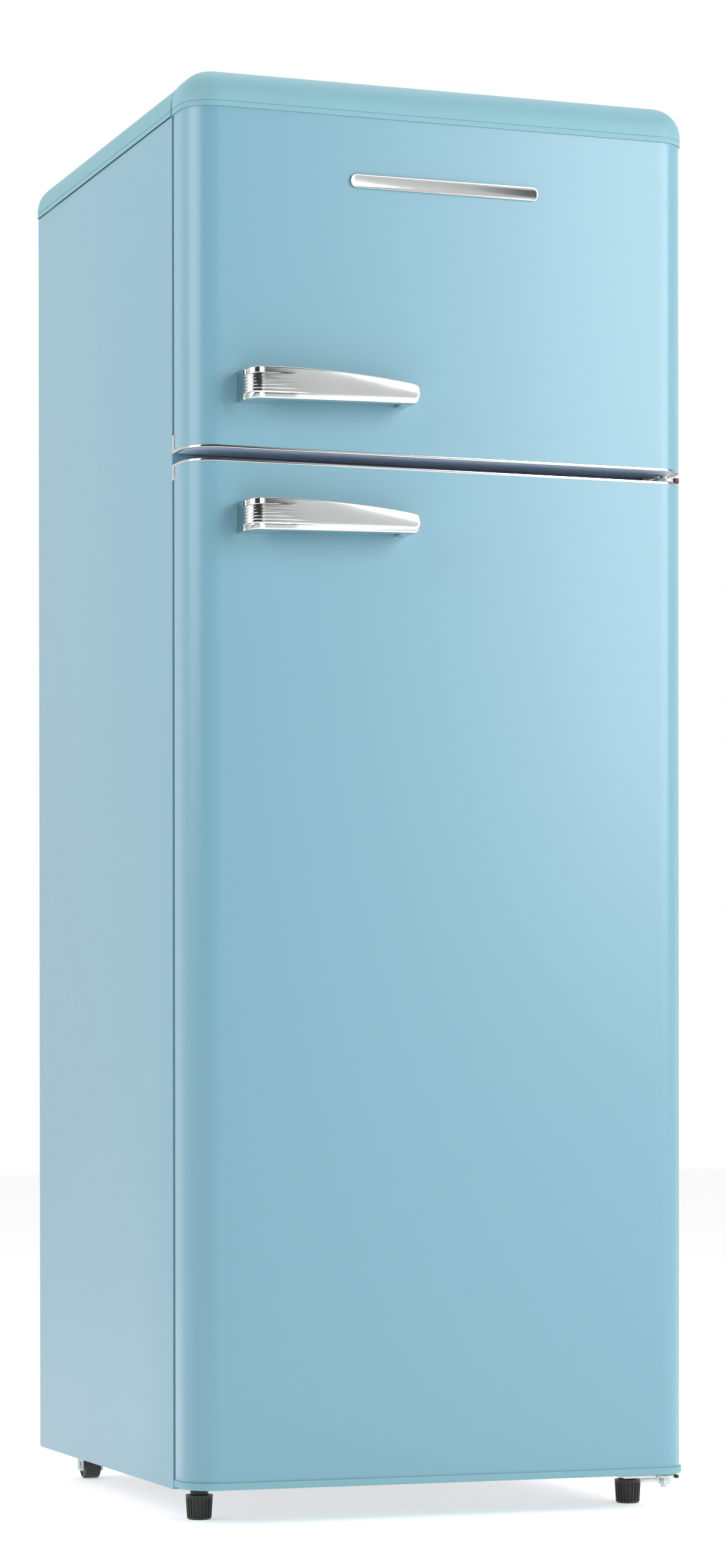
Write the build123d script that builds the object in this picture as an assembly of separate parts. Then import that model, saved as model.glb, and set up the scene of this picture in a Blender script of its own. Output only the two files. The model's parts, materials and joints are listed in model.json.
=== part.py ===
from build123d import *
import math
import os

# A tall two-door refrigerator with the freezer on top, in millimetres.
# X runs to the right, Y to the back and Z up. The pieces are drawn with Y = 0 on the
# cabinet's front flange and X = 0 on its middle, standing on Z = 0, and are moved on
# export so that the origin is the bottom centre of the whole object.

# Outer sizes
WIDTH = 545.0
HEIGHT = 1466.0
CABINET_DEPTH = 519.0
CABINET_BOTTOM = 33.7
CABINET_TOP = 1426.0
DOOR_FRONT = -61.1
DOOR_BACK = -5.0
HANDLE_FRONT = -97.5
CAP_OVERHANG = 1.5
HALF = WIDTH / 2
CENTRE_Y = (CABINET_DEPTH + HANDLE_FRONT) / 2

# Sheet, walls and roundings
SHEET = 1.0
LINER = 2.0
FLANGE = 22.5
FLANGE_INNER = HALF - FLANGE
DOOR_CORNER = 33.0
DOOR_BACK_CORNER = 4.0
CAP_ROUND = 33.0
CAP_NOSE = 25.0
CAP_WALL = 3.0
PANEL_FOOT_ROUND = 6.0

# Doors, bottom to top
FRIDGE_DOOR_LOW = 36.6
FRIDGE_SKIN_LOW = 43.9
FRIDGE_SKIN_HIGH = 1070.0
FRIDGE_DOOR_HIGH = 1072.7
FREEZER_DOOR_LOW = 1083.6
FREEZER_SKIN_LOW = 1086.3
FREEZER_SKIN_HIGH = CABINET_TOP
END_PLATE = 6.0
SKIN_LIP = 8.5
LIP_INNER = HALF - SKIN_LIP
LAND_FRONT = -10.0
LAND_BACK = -8.0
GASKET_WIDTH = 16.0
GASKET_BACK = -1.0
DYKE_WIDTH = 14.0
DYKE_BACK = 25.0
BINS = ((112.0, 215.0), (520.0, 580.0), (800.0, 860.0))

# Food spaces
FRIDGE_HALF = 222.0
FRIDGE_FLOOR = 75.0
FRIDGE_CEILING = 1046.0
FRIDGE_BACK = 440.0
HUMP_FRONT = 292.0
HUMP_TOP = 285.0
FREEZER_HALF = 218.0
FREEZER_FLOOR = 1116.0
FREEZER_CEILING = 1388.0
FREEZER_BACK = 430.0
FLANGE_REACH = 14.0
CORNER_ROUND = 10.0
SHELF_LEVELS = (450.0, 650.0, 850.0)
GLASS = 4.0
GLASS_HALF = 219.5
GLASS_FRONT = 104.0
GLASS_BACK = 430.0
LEDGE = 6.0
FREEZER_SHELF_LEVEL = 1250.0

# Back of the cabinet
REAR_PANEL_Y = 488.0
BAY_FRONT = 330.0
BAY_ROOF = 235.0
BASE_Z = 36.0

# Hinges
PIN_X = 258.0
PIN_Y = -30.0
PIN_R = 4.0
PIN_PLAY = 0.05
BUSH_R = 6.5
BRACKET = 3.0
RAIL_LOW = 1060.0
RAIL_HIGH = 1102.0
RAIL_DEPTH = 13.0
PLATE_LOW = 1084.5
PLATE_HIGH = 1096.5
ARM_Z = 1076.6
TOP_ARM_Z = 1427.5
ARM_SWEEP = 42.0
SCREW_R = 2.0
SCREW_DEPTH = 14.0
HINGE_SCREW_XS = (185.2, 225.6)
HINGE_SCREW_Z = 1090.5
TOP_SCREWS = ((200, 45), (245, 45))

# Handles, nameplate, feet and rollers
HANDLE_LEFT = -223.0
HANDLE_RIGHT = -39.0
HANDLE_DROP = 131.0
STUD_R = 3.0
STUD_XS = (-206.0, -47.0)
STUD_START = -76.0
STUD_END = -50.0
FREEZER_STUD_Z = 1145.0
NAMEPLATE_Z = 1361.0
FOOT_X = 238.0
FOOT_Y = 22.0
FOOT_HIGH = 25.0
FOOT_RIBS = 22
STUD_TOP = 58.0
ROLLER_X = 225.0
ROLLER_Y = 478.0
ROLLER_R = 15.0
COMPRESSOR_X = 60.0
COMPRESSOR_Y = 428.0
DRAIN_R = 7.0
DRAIN_Y = 410.0
CONDENSER_R = 2.4
KNOB_Y = 160.0
KNOB_Z = 995.0
SWITCH_X = 155.0
SWITCH_Z = 1036.0
PLUNGER_R = 4.0
PLUNGER_FRONT = -1.0


def block(x0, x1, y0, y1, z0, z1):
    """A box between two corners."""
    return Pos((x0 + x1) / 2, (y0 + y1) / 2, (z0 + z1) / 2) * Box(x1 - x0, y1 - y0, z1 - z0)


def post(radius, x, y, z0, z1):
    """An upright round bar."""
    return Pos(x, y, (z0 + z1) / 2) * Cylinder(radius, z1 - z0)


def bar_x(radius, x0, x1, y, z):
    """A round bar along X."""
    return Pos((x0 + x1) / 2, y, z) * Rot(0, 90, 0) * Cylinder(radius, x1 - x0)


def bar_y(radius, x, y0, y1, z):
    """A round bar along Y."""
    return Pos(x, (y0 + y1) / 2, z) * Rot(90, 0, 0) * Cylinder(radius, y1 - y0)


def ring(half, z0, z1, width, y0, y1):
    """An upright rectangular frame, seen from the front."""
    hole = block(-half + width, half - width, y0 - 1, y1 + 1, z0 + width, z1 - width)
    return block(-half, half, y0, y1, z0, z1) - hole


def mirrored(shape):
    """The same shape on the other side of the middle."""
    return mirror(shape, about=Plane.YZ)


def save(name, shape):
    """Write one node in the stored frame."""
    moved = Pos(0, -CENTRE_Y, 0) * shape
    solids = moved.solids()
    kept = solids[0] if len(solids) == 1 else Compound(children=list(solids))
    export_step(kept, f"parts/{name}.step")


# Cabinet shell

def side_panel():
    """The right side: a folded sheet with a front flange and a rear return."""
    outline = Polyline(
        (HALF, 0), (HALF, CABINET_DEPTH), (HALF - 14, CABINET_DEPTH),
        (HALF - 14, CABINET_DEPTH - SHEET), (HALF - SHEET, CABINET_DEPTH - SHEET),
        (HALF - SHEET, SHEET), (FLANGE_INNER, SHEET), (FLANGE_INNER, 0), close=True)
    fold = make_face(outline)
    outer = fold.vertices().sort_by_distance((HALF, 0))[0]
    fold = fillet(outer, 2.0)
    panel = extrude(Pos(0, 0, CABINET_BOTTOM) * fold, CABINET_TOP - CABINET_BOTTOM)
    side = Plane.YZ * Pos(CABINET_DEPTH / 2, (CABINET_TOP + CABINET_BOTTOM) / 2)
    view = side * Rectangle(CABINET_DEPTH, CABINET_TOP - CABINET_BOTTOM)
    foot = view.vertices().sort_by_distance((0, CABINET_DEPTH, CABINET_BOTTOM))[0]
    view = fillet(foot, PANEL_FOOT_ROUND)
    return panel & extrude(view, HALF)


def cover_solid(inset):
    """The rounded lid over the cabinet, shrunk by inset for its hollow."""
    half = HALF + CAP_OVERHANG - inset
    body = block(-half, half, inset, CABINET_DEPTH - inset, CABINET_TOP, HEIGHT - inset)
    sides = body.edges().filter_by(Axis.Y).group_by(Axis.Z)[-1]
    body = fillet(sides, CAP_ROUND - inset)
    back = body.edges().filter_by(Axis.X).group_by(Axis.Z)[-1].sort_by(Axis.Y)[-1]
    return chamfer(back, 4.0)


def top_cover():
    """The lid: a tray standing on the top plate."""
    hollow = cover_solid(CAP_WALL) - block(-300, 300, -10, 600, CABINET_TOP - 10, CABINET_TOP)
    slot = block(200, 268, -1, CAP_WALL + 1, CABINET_TOP - 1, TOP_ARM_Z + BRACKET + 1)
    return cover_solid(0) - hollow - slot


def top_plate():
    """The steel top of the cabinet with its front flange turned down."""
    plate = block(-HALF + SHEET, HALF - SHEET, SHEET, REAR_PANEL_Y, CABINET_TOP - SHEET, CABINET_TOP)
    flange = block(-FLANGE_INNER, FLANGE_INNER, 0, SHEET, FREEZER_CEILING + FLANGE_REACH, CABINET_TOP)
    return plate + flange


def base_pan():
    """The steel floor, stepped up over the compressor bay, with a front flange."""
    inner = HALF - SHEET
    lip = block(-FLANGE_INNER, FLANGE_INNER, 0, SHEET, BASE_Z, FRIDGE_FLOOR - FLANGE_REACH)
    floor = block(-inner, inner, SHEET, BAY_FRONT, BASE_Z, BASE_Z + SHEET)
    riser = block(-inner, inner, BAY_FRONT - SHEET, BAY_FRONT, BASE_Z, BAY_ROOF + SHEET)
    roof = block(-inner, inner, BAY_FRONT, REAR_PANEL_Y, BAY_ROOF, BAY_ROOF + SHEET)
    join = block(-FLANGE_INNER, FLANGE_INNER, 0, SHEET, BASE_Z, BASE_Z + SHEET)
    pan = lip + join + floor + riser + roof
    for x in (-FOOT_X, FOOT_X):
        pan -= post(PIN_R + 0.5, x, FOOT_Y, BASE_Z - 1, BASE_Z + 3)
    return pan - post(DRAIN_R, COMPRESSOR_X, DRAIN_Y, BAY_ROOF - 1, BAY_ROOF + 3)


def rear_panel():
    """The galvanised back, set in from the side panels' rear edges."""
    return block(-HALF + SHEET, HALF - SHEET, REAR_PANEL_Y, REAR_PANEL_Y + SHEET, BAY_ROOF, CABINET_TOP)


def centre_rail():
    """The steel rail across the front between the two food spaces."""
    web = block(-FLANGE_INNER, FLANGE_INNER, 0, SHEET, RAIL_LOW, RAIL_HIGH)
    low = block(-FLANGE_INNER, FLANGE_INNER, SHEET, RAIL_DEPTH, RAIL_LOW, RAIL_LOW + SHEET)
    high = block(-FLANGE_INNER, FLANGE_INNER, SHEET, RAIL_DEPTH, RAIL_HIGH - SHEET, RAIL_HIGH)
    rail = web + low + high
    for x in HINGE_SCREW_XS:
        rail -= bar_y(SCREW_R, x, -1, 3, HINGE_SCREW_Z)
    return rail


# Food spaces

def cavity(half, outline, grow):
    """A food space or its liner's outside: a rounded prism open to the front."""
    face = make_face(Plane.YZ * Polyline(*outline, close=True))
    inner = [v for v in face.vertices() if v.Y > 1]
    face = fillet(inner, CORNER_ROUND + grow)
    body = Pos(-half, 0, 0) * extrude(face, 2 * half)
    ends = [e for e in body.edges() if abs(abs(e.center().X) - half) < 0.01 and e.center().Y > 0.5]
    return fillet(ends, CORNER_ROUND + grow - 2)


def fridge_cavity(grow, mouth=0.0):
    outline = (
        (mouth, FRIDGE_FLOOR - grow), (HUMP_FRONT + grow, FRIDGE_FLOOR - grow),
        (HUMP_FRONT + grow, HUMP_TOP - grow), (FRIDGE_BACK + grow, HUMP_TOP - grow),
        (FRIDGE_BACK + grow, FRIDGE_CEILING + grow), (mouth, FRIDGE_CEILING + grow))
    return cavity(FRIDGE_HALF + grow, outline, grow)


def freezer_cavity(grow, mouth=0.0):
    outline = (
        (mouth, FREEZER_FLOOR - grow), (FREEZER_BACK + grow, FREEZER_FLOOR - grow),
        (FREEZER_BACK + grow, FREEZER_CEILING + grow), (mouth, FREEZER_CEILING + grow))
    return cavity(FREEZER_HALF + grow, outline, grow)


def ledges(half, level, y0, y1):
    """The pair of moulded ribs that carry one shelf."""
    rib = block(half - LEDGE, half + LINER / 2, y0, y1, level - 8, level)
    return rib + mirrored(rib)


def liner_flange(half, floor, ceiling):
    """The liner's flat rim round its mouth, between the steel flanges."""
    rim = block(-FLANGE_INNER, FLANGE_INNER, 0, LINER, floor - FLANGE_REACH, ceiling + FLANGE_REACH)
    return rim - block(-half, half, -1, LINER + 1, floor, ceiling)


def fridge_liner():
    liner = fridge_cavity(LINER) + liner_flange(FRIDGE_HALF, FRIDGE_FLOOR, FRIDGE_CEILING)
    liner -= fridge_cavity(0)
    outside = fridge_cavity(LINER)
    for level in (*SHELF_LEVELS, HUMP_TOP + 8):
        liner += ledges(FRIDGE_HALF, level, GLASS_FRONT + 4, GLASS_BACK - 4) & outside
    return liner - post(DRAIN_R, COMPRESSOR_X, DRAIN_Y, HUMP_TOP - 5, HUMP_TOP + 5)


def freezer_liner():
    liner = freezer_cavity(LINER) + liner_flange(FREEZER_HALF, FREEZER_FLOOR, FREEZER_CEILING)
    liner -= freezer_cavity(0)
    return liner + ledges(FREEZER_HALF, FREEZER_SHELF_LEVEL, 60, 400)


def freezer_wrap(grow):
    """The block round the freezer liner that its cold plate is folded about."""
    half = FREEZER_HALF - 20
    low = FREEZER_FLOOR - LINER - grow
    high = FREEZER_CEILING + LINER + grow
    return block(-half, half, 30, FREEZER_BACK + LINER + grow, low, high)


def evaporators():
    """The cold plates behind the liners: a wrap round the freezer and a plate below."""
    plate_y = FRIDGE_BACK + LINER
    plate = block(-180, 180, plate_y, plate_y + 3, 700, 1000)
    return freezer_wrap(1.5) - freezer_wrap(0), plate


def fridge_pocket():
    """The square-cornered space that the foam leaves for the fridge liner."""
    half = FRIDGE_HALF + LINER
    low = block(-half, half, 0, HUMP_FRONT + LINER, FRIDGE_FLOOR - LINER, HUMP_TOP)
    turn = HUMP_FRONT + CORNER_ROUND + 2 * LINER
    low += block(-half, half, 0, turn, HUMP_TOP - CORNER_ROUND - 2 * LINER, HUMP_TOP)
    return low + block(-half, half, 0, FRIDGE_BACK + LINER, HUMP_TOP - LINER, FRIDGE_CEILING + LINER)


def foam_core(parts):
    """Rigid foam filling the cabinet between the shell and the liners."""
    inner = HALF - SHEET
    foam = block(-inner, inner, LINER, REAR_PANEL_Y, BASE_Z + SHEET, CABINET_TOP - SHEET)
    foam -= block(-inner - 1, inner + 1, BAY_FRONT - SHEET, REAR_PANEL_Y + 1, 0, BAY_ROOF + SHEET)
    foam -= fridge_pocket()
    foam -= freezer_wrap(1.5) + block(-FREEZER_HALF - LINER, FREEZER_HALF + LINER, 0, FREEZER_BACK + LINER,
                                      FREEZER_FLOOR - LINER, FREEZER_CEILING + LINER)
    foam -= block(-FLANGE_INNER, FLANGE_INNER, 0, RAIL_DEPTH, RAIL_LOW, RAIL_HIGH)
    for piece in parts:
        foam -= piece
    for x in (-FOOT_X, FOOT_X):
        foam -= post(PIN_R + 0.5, x, FOOT_Y, BASE_Z, STUD_TOP + 1)
    for x in HINGE_SCREW_XS:
        foam -= bar_y(SCREW_R, x, 0, SCREW_DEPTH, HINGE_SCREW_Z)
    return foam - post(DRAIN_R, COMPRESSOR_X, DRAIN_Y, BAY_ROOF, HUMP_TOP)


def glass_shelves():
    """Three shelves and the glass cover over the drawer."""
    levels = (*SHELF_LEVELS, HUMP_TOP + 8)
    return [block(-GLASS_HALF, GLASS_HALF, GLASS_FRONT, GLASS_BACK, z, z + GLASS) for z in levels]


def shelf_trims():
    """A strip along the front and back edge of every glass shelf."""
    strips = []
    for z in (*SHELF_LEVELS, HUMP_TOP + 8):
        front = block(-GLASS_HALF, GLASS_HALF, GLASS_FRONT - 6, GLASS_FRONT, z - 3, z + GLASS + 2)
        back = block(-GLASS_HALF, GLASS_HALF, GLASS_BACK, GLASS_BACK + 4, z, z + GLASS + 10)
        strips += [front, back]
    return strips


def freezer_shelf():
    """A wire grid on the freezer's ledges."""
    half = FREEZER_HALF - 3
    z = FREEZER_SHELF_LEVEL + 3
    grid = bar_x(3, -half, half, 70, z) + bar_x(3, -half, half, 390, z)
    rods = 17
    for i in range(rods):
        x = -half + 4 + i * (2 * half - 8) / (rods - 1)
        grid += bar_y(2, x, 70, 390, z)
    return grid


# Controls inside the fridge

def thermostat_housing():
    """The control box on the right wall, open towards the wall."""
    left = FRIDGE_HALF - 40
    box = block(left, FRIDGE_HALF, 120, 200, 962, 1028)
    box -= block(left + 2, FRIDGE_HALF, 122, 198, 964, 1026)
    return box - bar_x(3.5, left - 1, left + 3, KNOB_Y, KNOB_Z)


def thermostat_knob():
    """A ribbed dial with its shaft into the control box."""
    left = FRIDGE_HALF - 40
    knob = bar_x(18, left - 13, left - 1, KNOB_Y, KNOB_Z)
    for i in range(20):
        turn = 2 * math.pi * i / 20
        y = KNOB_Y + 18.6 * math.cos(turn)
        z = KNOB_Z + 18.6 * math.sin(turn)
        knob -= bar_x(1.6, left - 14, left - 3, y, z)
    pointer = block(left - 14.5, left - 13, KNOB_Y - 1, KNOB_Y + 1, KNOB_Z + 4, KNOB_Z + 14)
    return knob + pointer + bar_x(3.4, left - 1, left + 16, KNOB_Y, KNOB_Z)


def lamp_cover():
    """The light's clear hood behind the control box."""
    left = FRIDGE_HALF - 34
    hood = block(left, FRIDGE_HALF, 200.5, 270, 968, 1022)
    hood = fillet(hood.edges().filter_by(Axis.Z).group_by(Axis.X)[0], 8)
    return hood - block(left + 2, FRIDGE_HALF, 202.5, 268, 970, 1020)


def light_switch_housing():
    """The switch box under the ceiling, bored for its plunger."""
    box = block(SWITCH_X - 15, SWITCH_X + 15, 12, 48, 1028, FRIDGE_CEILING)
    return box - bar_y(PLUNGER_R + 0.3, SWITCH_X, 11, 40, SWITCH_Z)


def light_switch_plunger():
    """The sprung pin that the closing door presses."""
    return bar_y(PLUNGER_R, SWITCH_X, PLUNGER_FRONT, 30, SWITCH_Z)


# Crisper drawer

def crisper_drawer():
    """The vegetable drawer under its glass cover, with a finger lip in front."""
    half = 205.0
    front = 92.0
    body = block(-half, half, front, HUMP_FRONT - 6, FRIDGE_FLOOR + 0.6, 262)
    body = fillet(body.edges().filter_by(Axis.Z), 8)
    body = fillet(body.edges().group_by(Axis.Z)[0], 7)
    inside = block(-half + 2.5, half - 2.5, front + 3, HUMP_FRONT - 8.5, FRIDGE_FLOOR + 3.1, 263)
    inside = fillet(inside.edges().filter_by(Axis.Z), 6)
    body -= fillet(inside.edges().group_by(Axis.Z)[0], 5)
    lip = block(-70, 70, front - 5, front, 250, 256)
    return body + lip


# Doors

def door_slab(grow, back, z0, z1):
    """A door's plan, grown outwards, as an upright slab."""
    half = HALF + grow
    front = DOOR_FRONT - grow
    plan = Pos(0, (front + back) / 2) * Rectangle(2 * half, back - front)
    plan = fillet(plan.vertices().group_by(Axis.Y)[0], DOOR_CORNER + grow)
    plan = fillet(plan.vertices().group_by(Axis.Y)[-1], DOOR_BACK_CORNER)
    return extrude(Pos(0, 0, z0) * plan, z1 - z0)


def door_skin(z0, z1, stud_z):
    """The bent steel front with its sides and rear lips."""
    skin = door_slab(0, DOOR_BACK, z0, z1) - door_slab(-SHEET, DOOR_BACK - SHEET, z0 - 1, z1 + 1)
    skin -= block(-LIP_INNER, LIP_INNER, DOOR_BACK - 3, DOOR_BACK + 1, z0 - 1, z1 + 1)
    for x in STUD_XS:
        skin -= bar_y(STUD_R, x, DOOR_FRONT - 1, DOOR_FRONT + 3, stud_z)
    return skin


def end_plate(skin, z0, z1):
    """The plastic plate that closes one end of a door skin."""
    return door_slab(0, DOOR_BACK, z0, z1) - skin


def pin_hole(z0, z1, radius=BUSH_R):
    return post(radius, PIN_X, PIN_Y, z0, z1)


def chrome_trim(z0, z1, clip_low, clip_high):
    """A bright band round the end of a door, with a clip up its rear left edge."""
    band = door_slab(0.4, DOOR_BACK, z0, z1) - door_slab(-3, DOOR_BACK - 3, z0 - 1, z1 + 1)
    left = -HALF - 0.4
    tab = block(left, left + 2, DOOR_BACK, -1.2, clip_low, clip_high)
    root = block(left, left + 2, DOOR_BACK - 4, -1.2, z0, z1)
    return band + tab + root


def dyke(half, z0, z1, inset, y0, y1):
    """The raised frame on a door's inner panel, shrunk by inset for its hollow."""
    return ring(half - inset, z0 + inset, z1 - inset, DYKE_WIDTH - 2 * inset, y0, y1)


def door_liner(half, z0, z1, dyke_low, dyke_high):
    """The moulded inner panel: a land for the seal and a raised frame."""
    panel = block(-LIP_INNER, LIP_INNER, LAND_FRONT, LAND_BACK, z0, z1)
    panel += ring(LIP_INNER, z0, z1, 1.5, LAND_BACK, DOOR_BACK)
    panel += dyke(half, dyke_low, dyke_high, 0, LAND_BACK, DYKE_BACK)
    return panel - dyke(half, dyke_low, dyke_high, LINER, LAND_FRONT, DYKE_BACK - LINER)


def door_foam(half, z0, z1, dyke_low, dyke_high, stud_z):
    """Foam between a door's skin and its inner panel."""
    foam = door_slab(-SHEET, DOOR_BACK - SHEET, z0, z1)
    foam -= block(-LIP_INNER, LIP_INNER, LAND_FRONT, DOOR_BACK, z0 - 1, z1 + 1)
    foam += dyke(half, dyke_low, dyke_high, LINER, LAND_FRONT, DYKE_BACK - LINER)
    for x in STUD_XS:
        foam -= bar_y(STUD_R, x, DOOR_FRONT, STUD_END, stud_z)
    return foam


def door_gasket(z0, z1):
    """The magnetic seal, with a bellows groove round its outer side."""
    half = LIP_INNER - 2
    seal = ring(half, z0 + 2, z1 - 2, GASKET_WIDTH, LAND_BACK, GASKET_BACK)
    groove = ring(half + 1, z0 + 1, z1 - 1, 5, LAND_BACK + 2, LAND_BACK + 5)
    return seal - groove


def freezer_door_cap():
    """The moulded cap over the freezer door, hollow and notched for the hinge arm."""
    cap = rounded_cap(0) - rounded_cap(CAP_WALL)
    sweep = post(ARM_SWEEP, PIN_X, PIN_Y, CABINET_TOP - 1, TOP_ARM_Z + BRACKET + 1.5)
    sweep -= block(-300, 300, -100, PIN_Y - 11, 1400, 1440)
    return cap - sweep


def rounded_cap(inset):
    """The cap's outer or inner form: the door's plan under a round-shouldered roof."""
    half = HALF + CAP_OVERHANG - inset
    front = DOOR_FRONT - CAP_OVERHANG + inset
    top = HEIGHT - inset
    roof = Plane.XZ * Pos(0, (CABINET_TOP + top) / 2) * Rectangle(2 * half, top - CABINET_TOP)
    roof = fillet(roof.vertices().group_by(Axis.Z)[-1], CAP_ROUND - inset)
    side_middle = Pos((front + DOOR_BACK) / 2, (CABINET_TOP + top) / 2)
    side = Plane.YZ * side_middle * Rectangle(DOOR_BACK - front, top - CABINET_TOP)
    nose = side.vertices().sort_by_distance((0, front, top))[0]
    side = fillet(nose, CAP_NOSE - inset)
    body = door_slab(CAP_OVERHANG - inset, DOOR_BACK - inset, CABINET_TOP, top)
    body &= extrude(roof, 200, both=True)
    return body & extrude(side, 400, both=True)


def tray(half, y0, y1, z0, z1, wall):
    """An open bin whose inner corners are rounded."""
    body = block(-half, half, y0, y1, z0, z1)
    body = fillet(body.edges().filter_by(Axis.Z).group_by(Axis.Y)[-1], 14)
    return body - block(-half + wall, half - wall, y0 + wall, y1 - wall, z0 + wall, z1 + 1)


def handle(drop):
    """The bright grip: a tapering bar on two posts, bored for its studs."""
    low = 1128.8 - drop
    shape = Line((HANDLE_LEFT, low), (HANDLE_RIGHT, low + 4.2))
    shape += Line((HANDLE_RIGHT, low + 4.2), (HANDLE_RIGHT, low + 24.3))
    shape += ThreePointArc((HANDLE_RIGHT, low + 24.3), (-128, low + 32.6), (-205, low + 33.1))
    shape += Line((-205, low + 33.1), (HANDLE_LEFT, low + 31.0))
    shape += Line((HANDLE_LEFT, low + 31.0), (HANDLE_LEFT, low))
    front_view = extrude(Plane.XZ * make_face(shape), 200, both=True)
    back = HANDLE_FRONT + 10.5
    plan = Line((-222, DOOR_FRONT), (HANDLE_LEFT, HANDLE_FRONT + 14))
    plan += ThreePointArc((HANDLE_LEFT, HANDLE_FRONT + 14), (-219.5, HANDLE_FRONT + 4), (-210, HANDLE_FRONT))
    plan += ThreePointArc((-210, HANDLE_FRONT), (-125, HANDLE_FRONT + 0.7), (HANDLE_RIGHT, HANDLE_FRONT + 3))
    plan += Line((HANDLE_RIGHT, HANDLE_FRONT + 3), (HANDLE_RIGHT, back))
    plan += Line((HANDLE_RIGHT, back), (-40, DOOR_FRONT))
    plan += Line((-40, DOOR_FRONT), (-54, DOOR_FRONT))
    plan += Line((-54, DOOR_FRONT), (-57, back))
    plan += Line((-57, back), (-178, back))
    plan += ThreePointArc((-178, back), (-187, back + 4), (-190, back + 14))
    plan += Line((-190, back + 14), (-190, DOOR_FRONT))
    plan += Line((-190, DOOR_FRONT), (-222, DOOR_FRONT))
    above = extrude(make_face(plan), 3000)
    grip = front_view & above
    for x in STUD_XS:
        grip -= bar_y(STUD_R, x, STUD_START, DOOR_FRONT + 1, FREEZER_STUD_Z - drop)
    return grip


def bush(z0, z1, flange_z):
    """A flanged nylon bush for a hinge pin."""
    sleeve = post(BUSH_R, PIN_X, PIN_Y, z0, z1) + post(9, PIN_X, PIN_Y, flange_z, flange_z + 1.2)
    return sleeve - post(PIN_R + PIN_PLAY, PIN_X, PIN_Y, z0 - 2, z1 + 2)


def studs(stud_z):
    """The threaded studs that hold a handle to its door."""
    return [bar_y(STUD_R, x, STUD_START, STUD_END, stud_z) for x in STUD_XS]


def nameplate():
    """A blank bright bar on the freezer door."""
    plate = block(-102, 102, DOOR_FRONT - 2.5, DOOR_FRONT, NAMEPLATE_Z - 7, NAMEPLATE_Z + 7)
    return fillet(plate.edges().filter_by(Axis.Y), 6.5)


# Hinges

def centre_hinge():
    """The plate on the rail with the arm and the two pins between the doors."""
    face = block(171.7, 254, -2, 0, PLATE_LOW, PLATE_HIGH)
    face = fillet(face.edges().filter_by(Axis.Y).group_by(Axis.X)[0], 5.0)
    drop = block(246, 268, -2, 0, ARM_Z, PLATE_HIGH)
    drop += block(246, 268, -BRACKET, 0, ARM_Z, FREEZER_DOOR_LOW - 1)
    arm = block(248, 268, PIN_Y, 0, ARM_Z, ARM_Z + BRACKET)
    arm += post(10, PIN_X, PIN_Y, ARM_Z, ARM_Z + BRACKET)
    hinge = face + drop + arm + post(PIN_R, PIN_X, PIN_Y, ARM_Z - 16, ARM_Z + 20)
    for x in HINGE_SCREW_XS:
        hinge -= bar_y(SCREW_R, x, -3, 1, HINGE_SCREW_Z)
    return hinge


def top_hinge():
    """The plate on the cabinet's top with the arm and pin over the freezer door."""
    foot = block(190, 262, 4, 60, CABINET_TOP, CABINET_TOP + BRACKET)
    riser = block(222, 250, 2, 12, CABINET_TOP, TOP_ARM_Z + BRACKET)
    outline = Polyline((236, 8), (222, 8), (PIN_X - 8, PIN_Y - 3), (PIN_X + 8, PIN_Y + 1), (246, 8),
                       close=True)
    arm = extrude(Pos(0, 0, TOP_ARM_Z) * make_face(outline), BRACKET)
    arm += post(8, PIN_X, PIN_Y, TOP_ARM_Z, TOP_ARM_Z + BRACKET)
    hinge = foot + riser + arm + post(PIN_R, PIN_X, PIN_Y, CABINET_TOP - 13, TOP_ARM_Z + BRACKET)
    for x, y in TOP_SCREWS:
        hinge -= post(SCREW_R, x, y, CABINET_TOP - 1, CABINET_TOP + 8)
    return hinge


def bottom_hinge():
    """The plate under the cabinet with the lower pin bolt and a folded front lip."""
    z1 = CABINET_BOTTOM
    z0 = z1 - BRACKET
    plate = block(212, 268, PIN_Y, 70, z0, z1) + post(10, PIN_X, PIN_Y, z0, z1)
    plate += block(212, 240, 0, 70, z1, BASE_Z)
    plate += block(232, 250, PIN_Y, PIN_Y + 2.5, z0 - 5, z0)
    pin = post(PIN_R, PIN_X, PIN_Y, 20.5, FRIDGE_SKIN_LOW + END_PLATE)
    collar = post(7, PIN_X, PIN_Y, z1, FRIDGE_DOOR_LOW - 1.4)
    return plate + pin + collar - post(PIN_R + 0.5, FOOT_X, FOOT_Y, z0 - 1, BASE_Z + 1)


def hinge_end_caps():
    """Dark moulded ends on the centre and bottom hinges."""
    middle = block(268, 274, -34, -26, ARM_Z - 1, ARM_Z + 5)
    lower = block(268, 272, -36, -24, CABINET_BOTTOM - 4, CABINET_BOTTOM)
    return middle, lower


def hex_nut(across, z0, z1, x, y):
    nut = Pos(x, y, z0) * extrude(RegularPolygon(across / 2, 6, major_radius=False), z1 - z0)
    return nut - post(PIN_R, x, y, z0 - 1, z1 + 1)


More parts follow.
